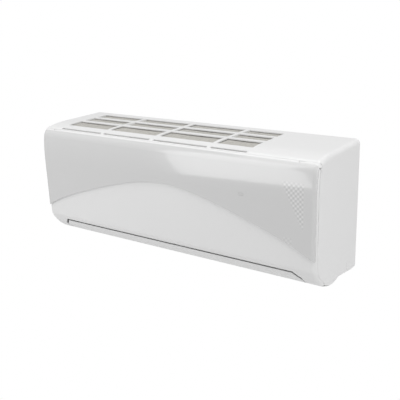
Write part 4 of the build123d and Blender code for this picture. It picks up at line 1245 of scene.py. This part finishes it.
@dataclass
class Studio:
    """Floor, soft lights and the camera at the photograph's angle."""

    azimuth: float = 35.641
    elevation: float = 18.009
    roll: float = -2.11
    distance: float = 1.49951
    slide: tuple[float, float] = (-0.02617, -0.17523)
    top: float = 0.140
    lens: float = 58.862
    sensor: float = 36.0
    far: float = 60.0
    floor_z: float = -1.0
    floor_half: float = 14.0
    floor_cells: int = 4
    floor_colour: Colour = (0.9, 0.9, 0.9)
    floor_roughness: float = 0.9
    background: float = 1.0
    ambient: float = 0.52
    lights: tuple[SoftBox, ...] = (
        SoftBox("overhead", (0.1, -0.1, 1.6), (0.0, -0.1, 0.0), 1.8, 1.8, 14.5),
        SoftBox("right_wall", (2.0, -0.5, 0.5), (0.3, -0.1, 0.0), 1.6, 1.6, 12.5),
        SoftBox("tall_front", (-0.853, -1.6, 0.957), (-0.853, 0.0, 0.957), 0.72, 2.35, 13.2, 11.0),
    )

    def floor(self) -> None:
        """Lay a wide pale floor, which the camera sees as plain white."""
        mesh = bmesh.new()
        bmesh.ops.create_grid(mesh, x_segments=self.floor_cells, y_segments=self.floor_cells,
                              size=self.floor_half, matrix=Matrix.Translation((0.0, 0.0, self.floor_z)))
        sheet = new_piece("studio_floor", mesh)
        material = bpy.data.materials.new("studio_floor")
        material.use_nodes = True
        graph = Graph(material.node_tree)
        shader = graph.find("BSDF_PRINCIPLED")
        shader.inputs["Base Color"].default_value = (*self.floor_colour, 1.0)
        shader.inputs["Roughness"].default_value = self.floor_roughness
        glow = graph.node("ShaderNodeEmission")
        glow.inputs["Color"].default_value = WHITE
        seen = graph.node("ShaderNodeLightPath").outputs["Is Camera Ray"]
        mixed = graph.node("ShaderNodeMixShader")
        graph.join(seen, mixed.inputs[0])
        graph.join(shader.outputs[0], mixed.inputs[1])
        graph.join(glow.outputs[0], mixed.inputs[2])
        graph.join(mixed.outputs[0], graph.find("OUTPUT_MATERIAL").inputs["Surface"])
        sheet.data.materials.append(material)

    def world(self) -> None:
        """Set a white backdrop with a softer ambient light."""
        world = bpy.data.worlds.new("studio")
        bpy.context.scene.world = world
        world.use_nodes = True
        graph = Graph(world.node_tree)
        graph.tree.nodes.clear()
        back = graph.node("ShaderNodeBackground")
        back.inputs["Color"].default_value = WHITE
        seen = graph.node("ShaderNodeLightPath").outputs["Is Camera Ray"]
        strength = graph.math("MULTIPLY_ADD", seen, self.background - self.ambient, self.ambient)
        graph.join(strength, back.inputs["Strength"])
        graph.join(back.outputs[0], graph.node("ShaderNodeOutputWorld").inputs[0])

    def camera(self) -> None:
        """Set the camera from the photograph's fitted angles."""
        around = math.radians(self.azimuth)
        above = math.radians(self.elevation)
        flat = math.cos(above)
        back = Vector((math.sin(around) * flat, -math.cos(around) * flat, math.sin(above)))
        level = Vector((math.cos(around), math.sin(around), 0.0))
        rise = back.cross(level)
        tilt = math.radians(self.roll)
        right = math.cos(tilt) * level + math.sin(tilt) * rise
        up = math.cos(tilt) * rise - math.sin(tilt) * level
        aside, lift = self.slide
        place = back * self.distance + right * aside + up * lift + Vector((0.0, 0.0, self.top))
        data = bpy.data.cameras.new("camera")
        data.lens = self.lens
        data.sensor_width = self.sensor
        data.clip_end = self.far
        view = bpy.data.objects.new("camera", data)
        turn = Matrix((right, up, back)).transposed().to_4x4()
        view.matrix_world = Matrix.Translation(place) @ turn
        bpy.context.scene.collection.objects.link(view)
        bpy.context.scene.camera = view

    def build(self) -> None:
        """Set up the whole studio."""
        bpy.context.scene.view_settings.view_transform = "Standard"
        self.floor()
        self.world()
        for light in self.lights:
            light.hang()
        self.camera()


def main() -> None:
    """Dress the unit, add its fine parts, set the studio and note the sizes."""
    logging.basicConfig(level=logging.INFO, format="%(message)s")
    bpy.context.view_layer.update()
    Studio().build()
    log.info("studio set")
    wardrobe = Wardrobe()
    log.info("%d solids dressed", wardrobe.dress_nodes())
    Evaporator().build(wardrobe)
    IntakeNets().build(wardrobe)
    SeamLip().build(wardrobe)
    WrapSeal().build(wardrobe)
    Fasteners().build(wardrobe)


if __name__ == "__main__":
    main()
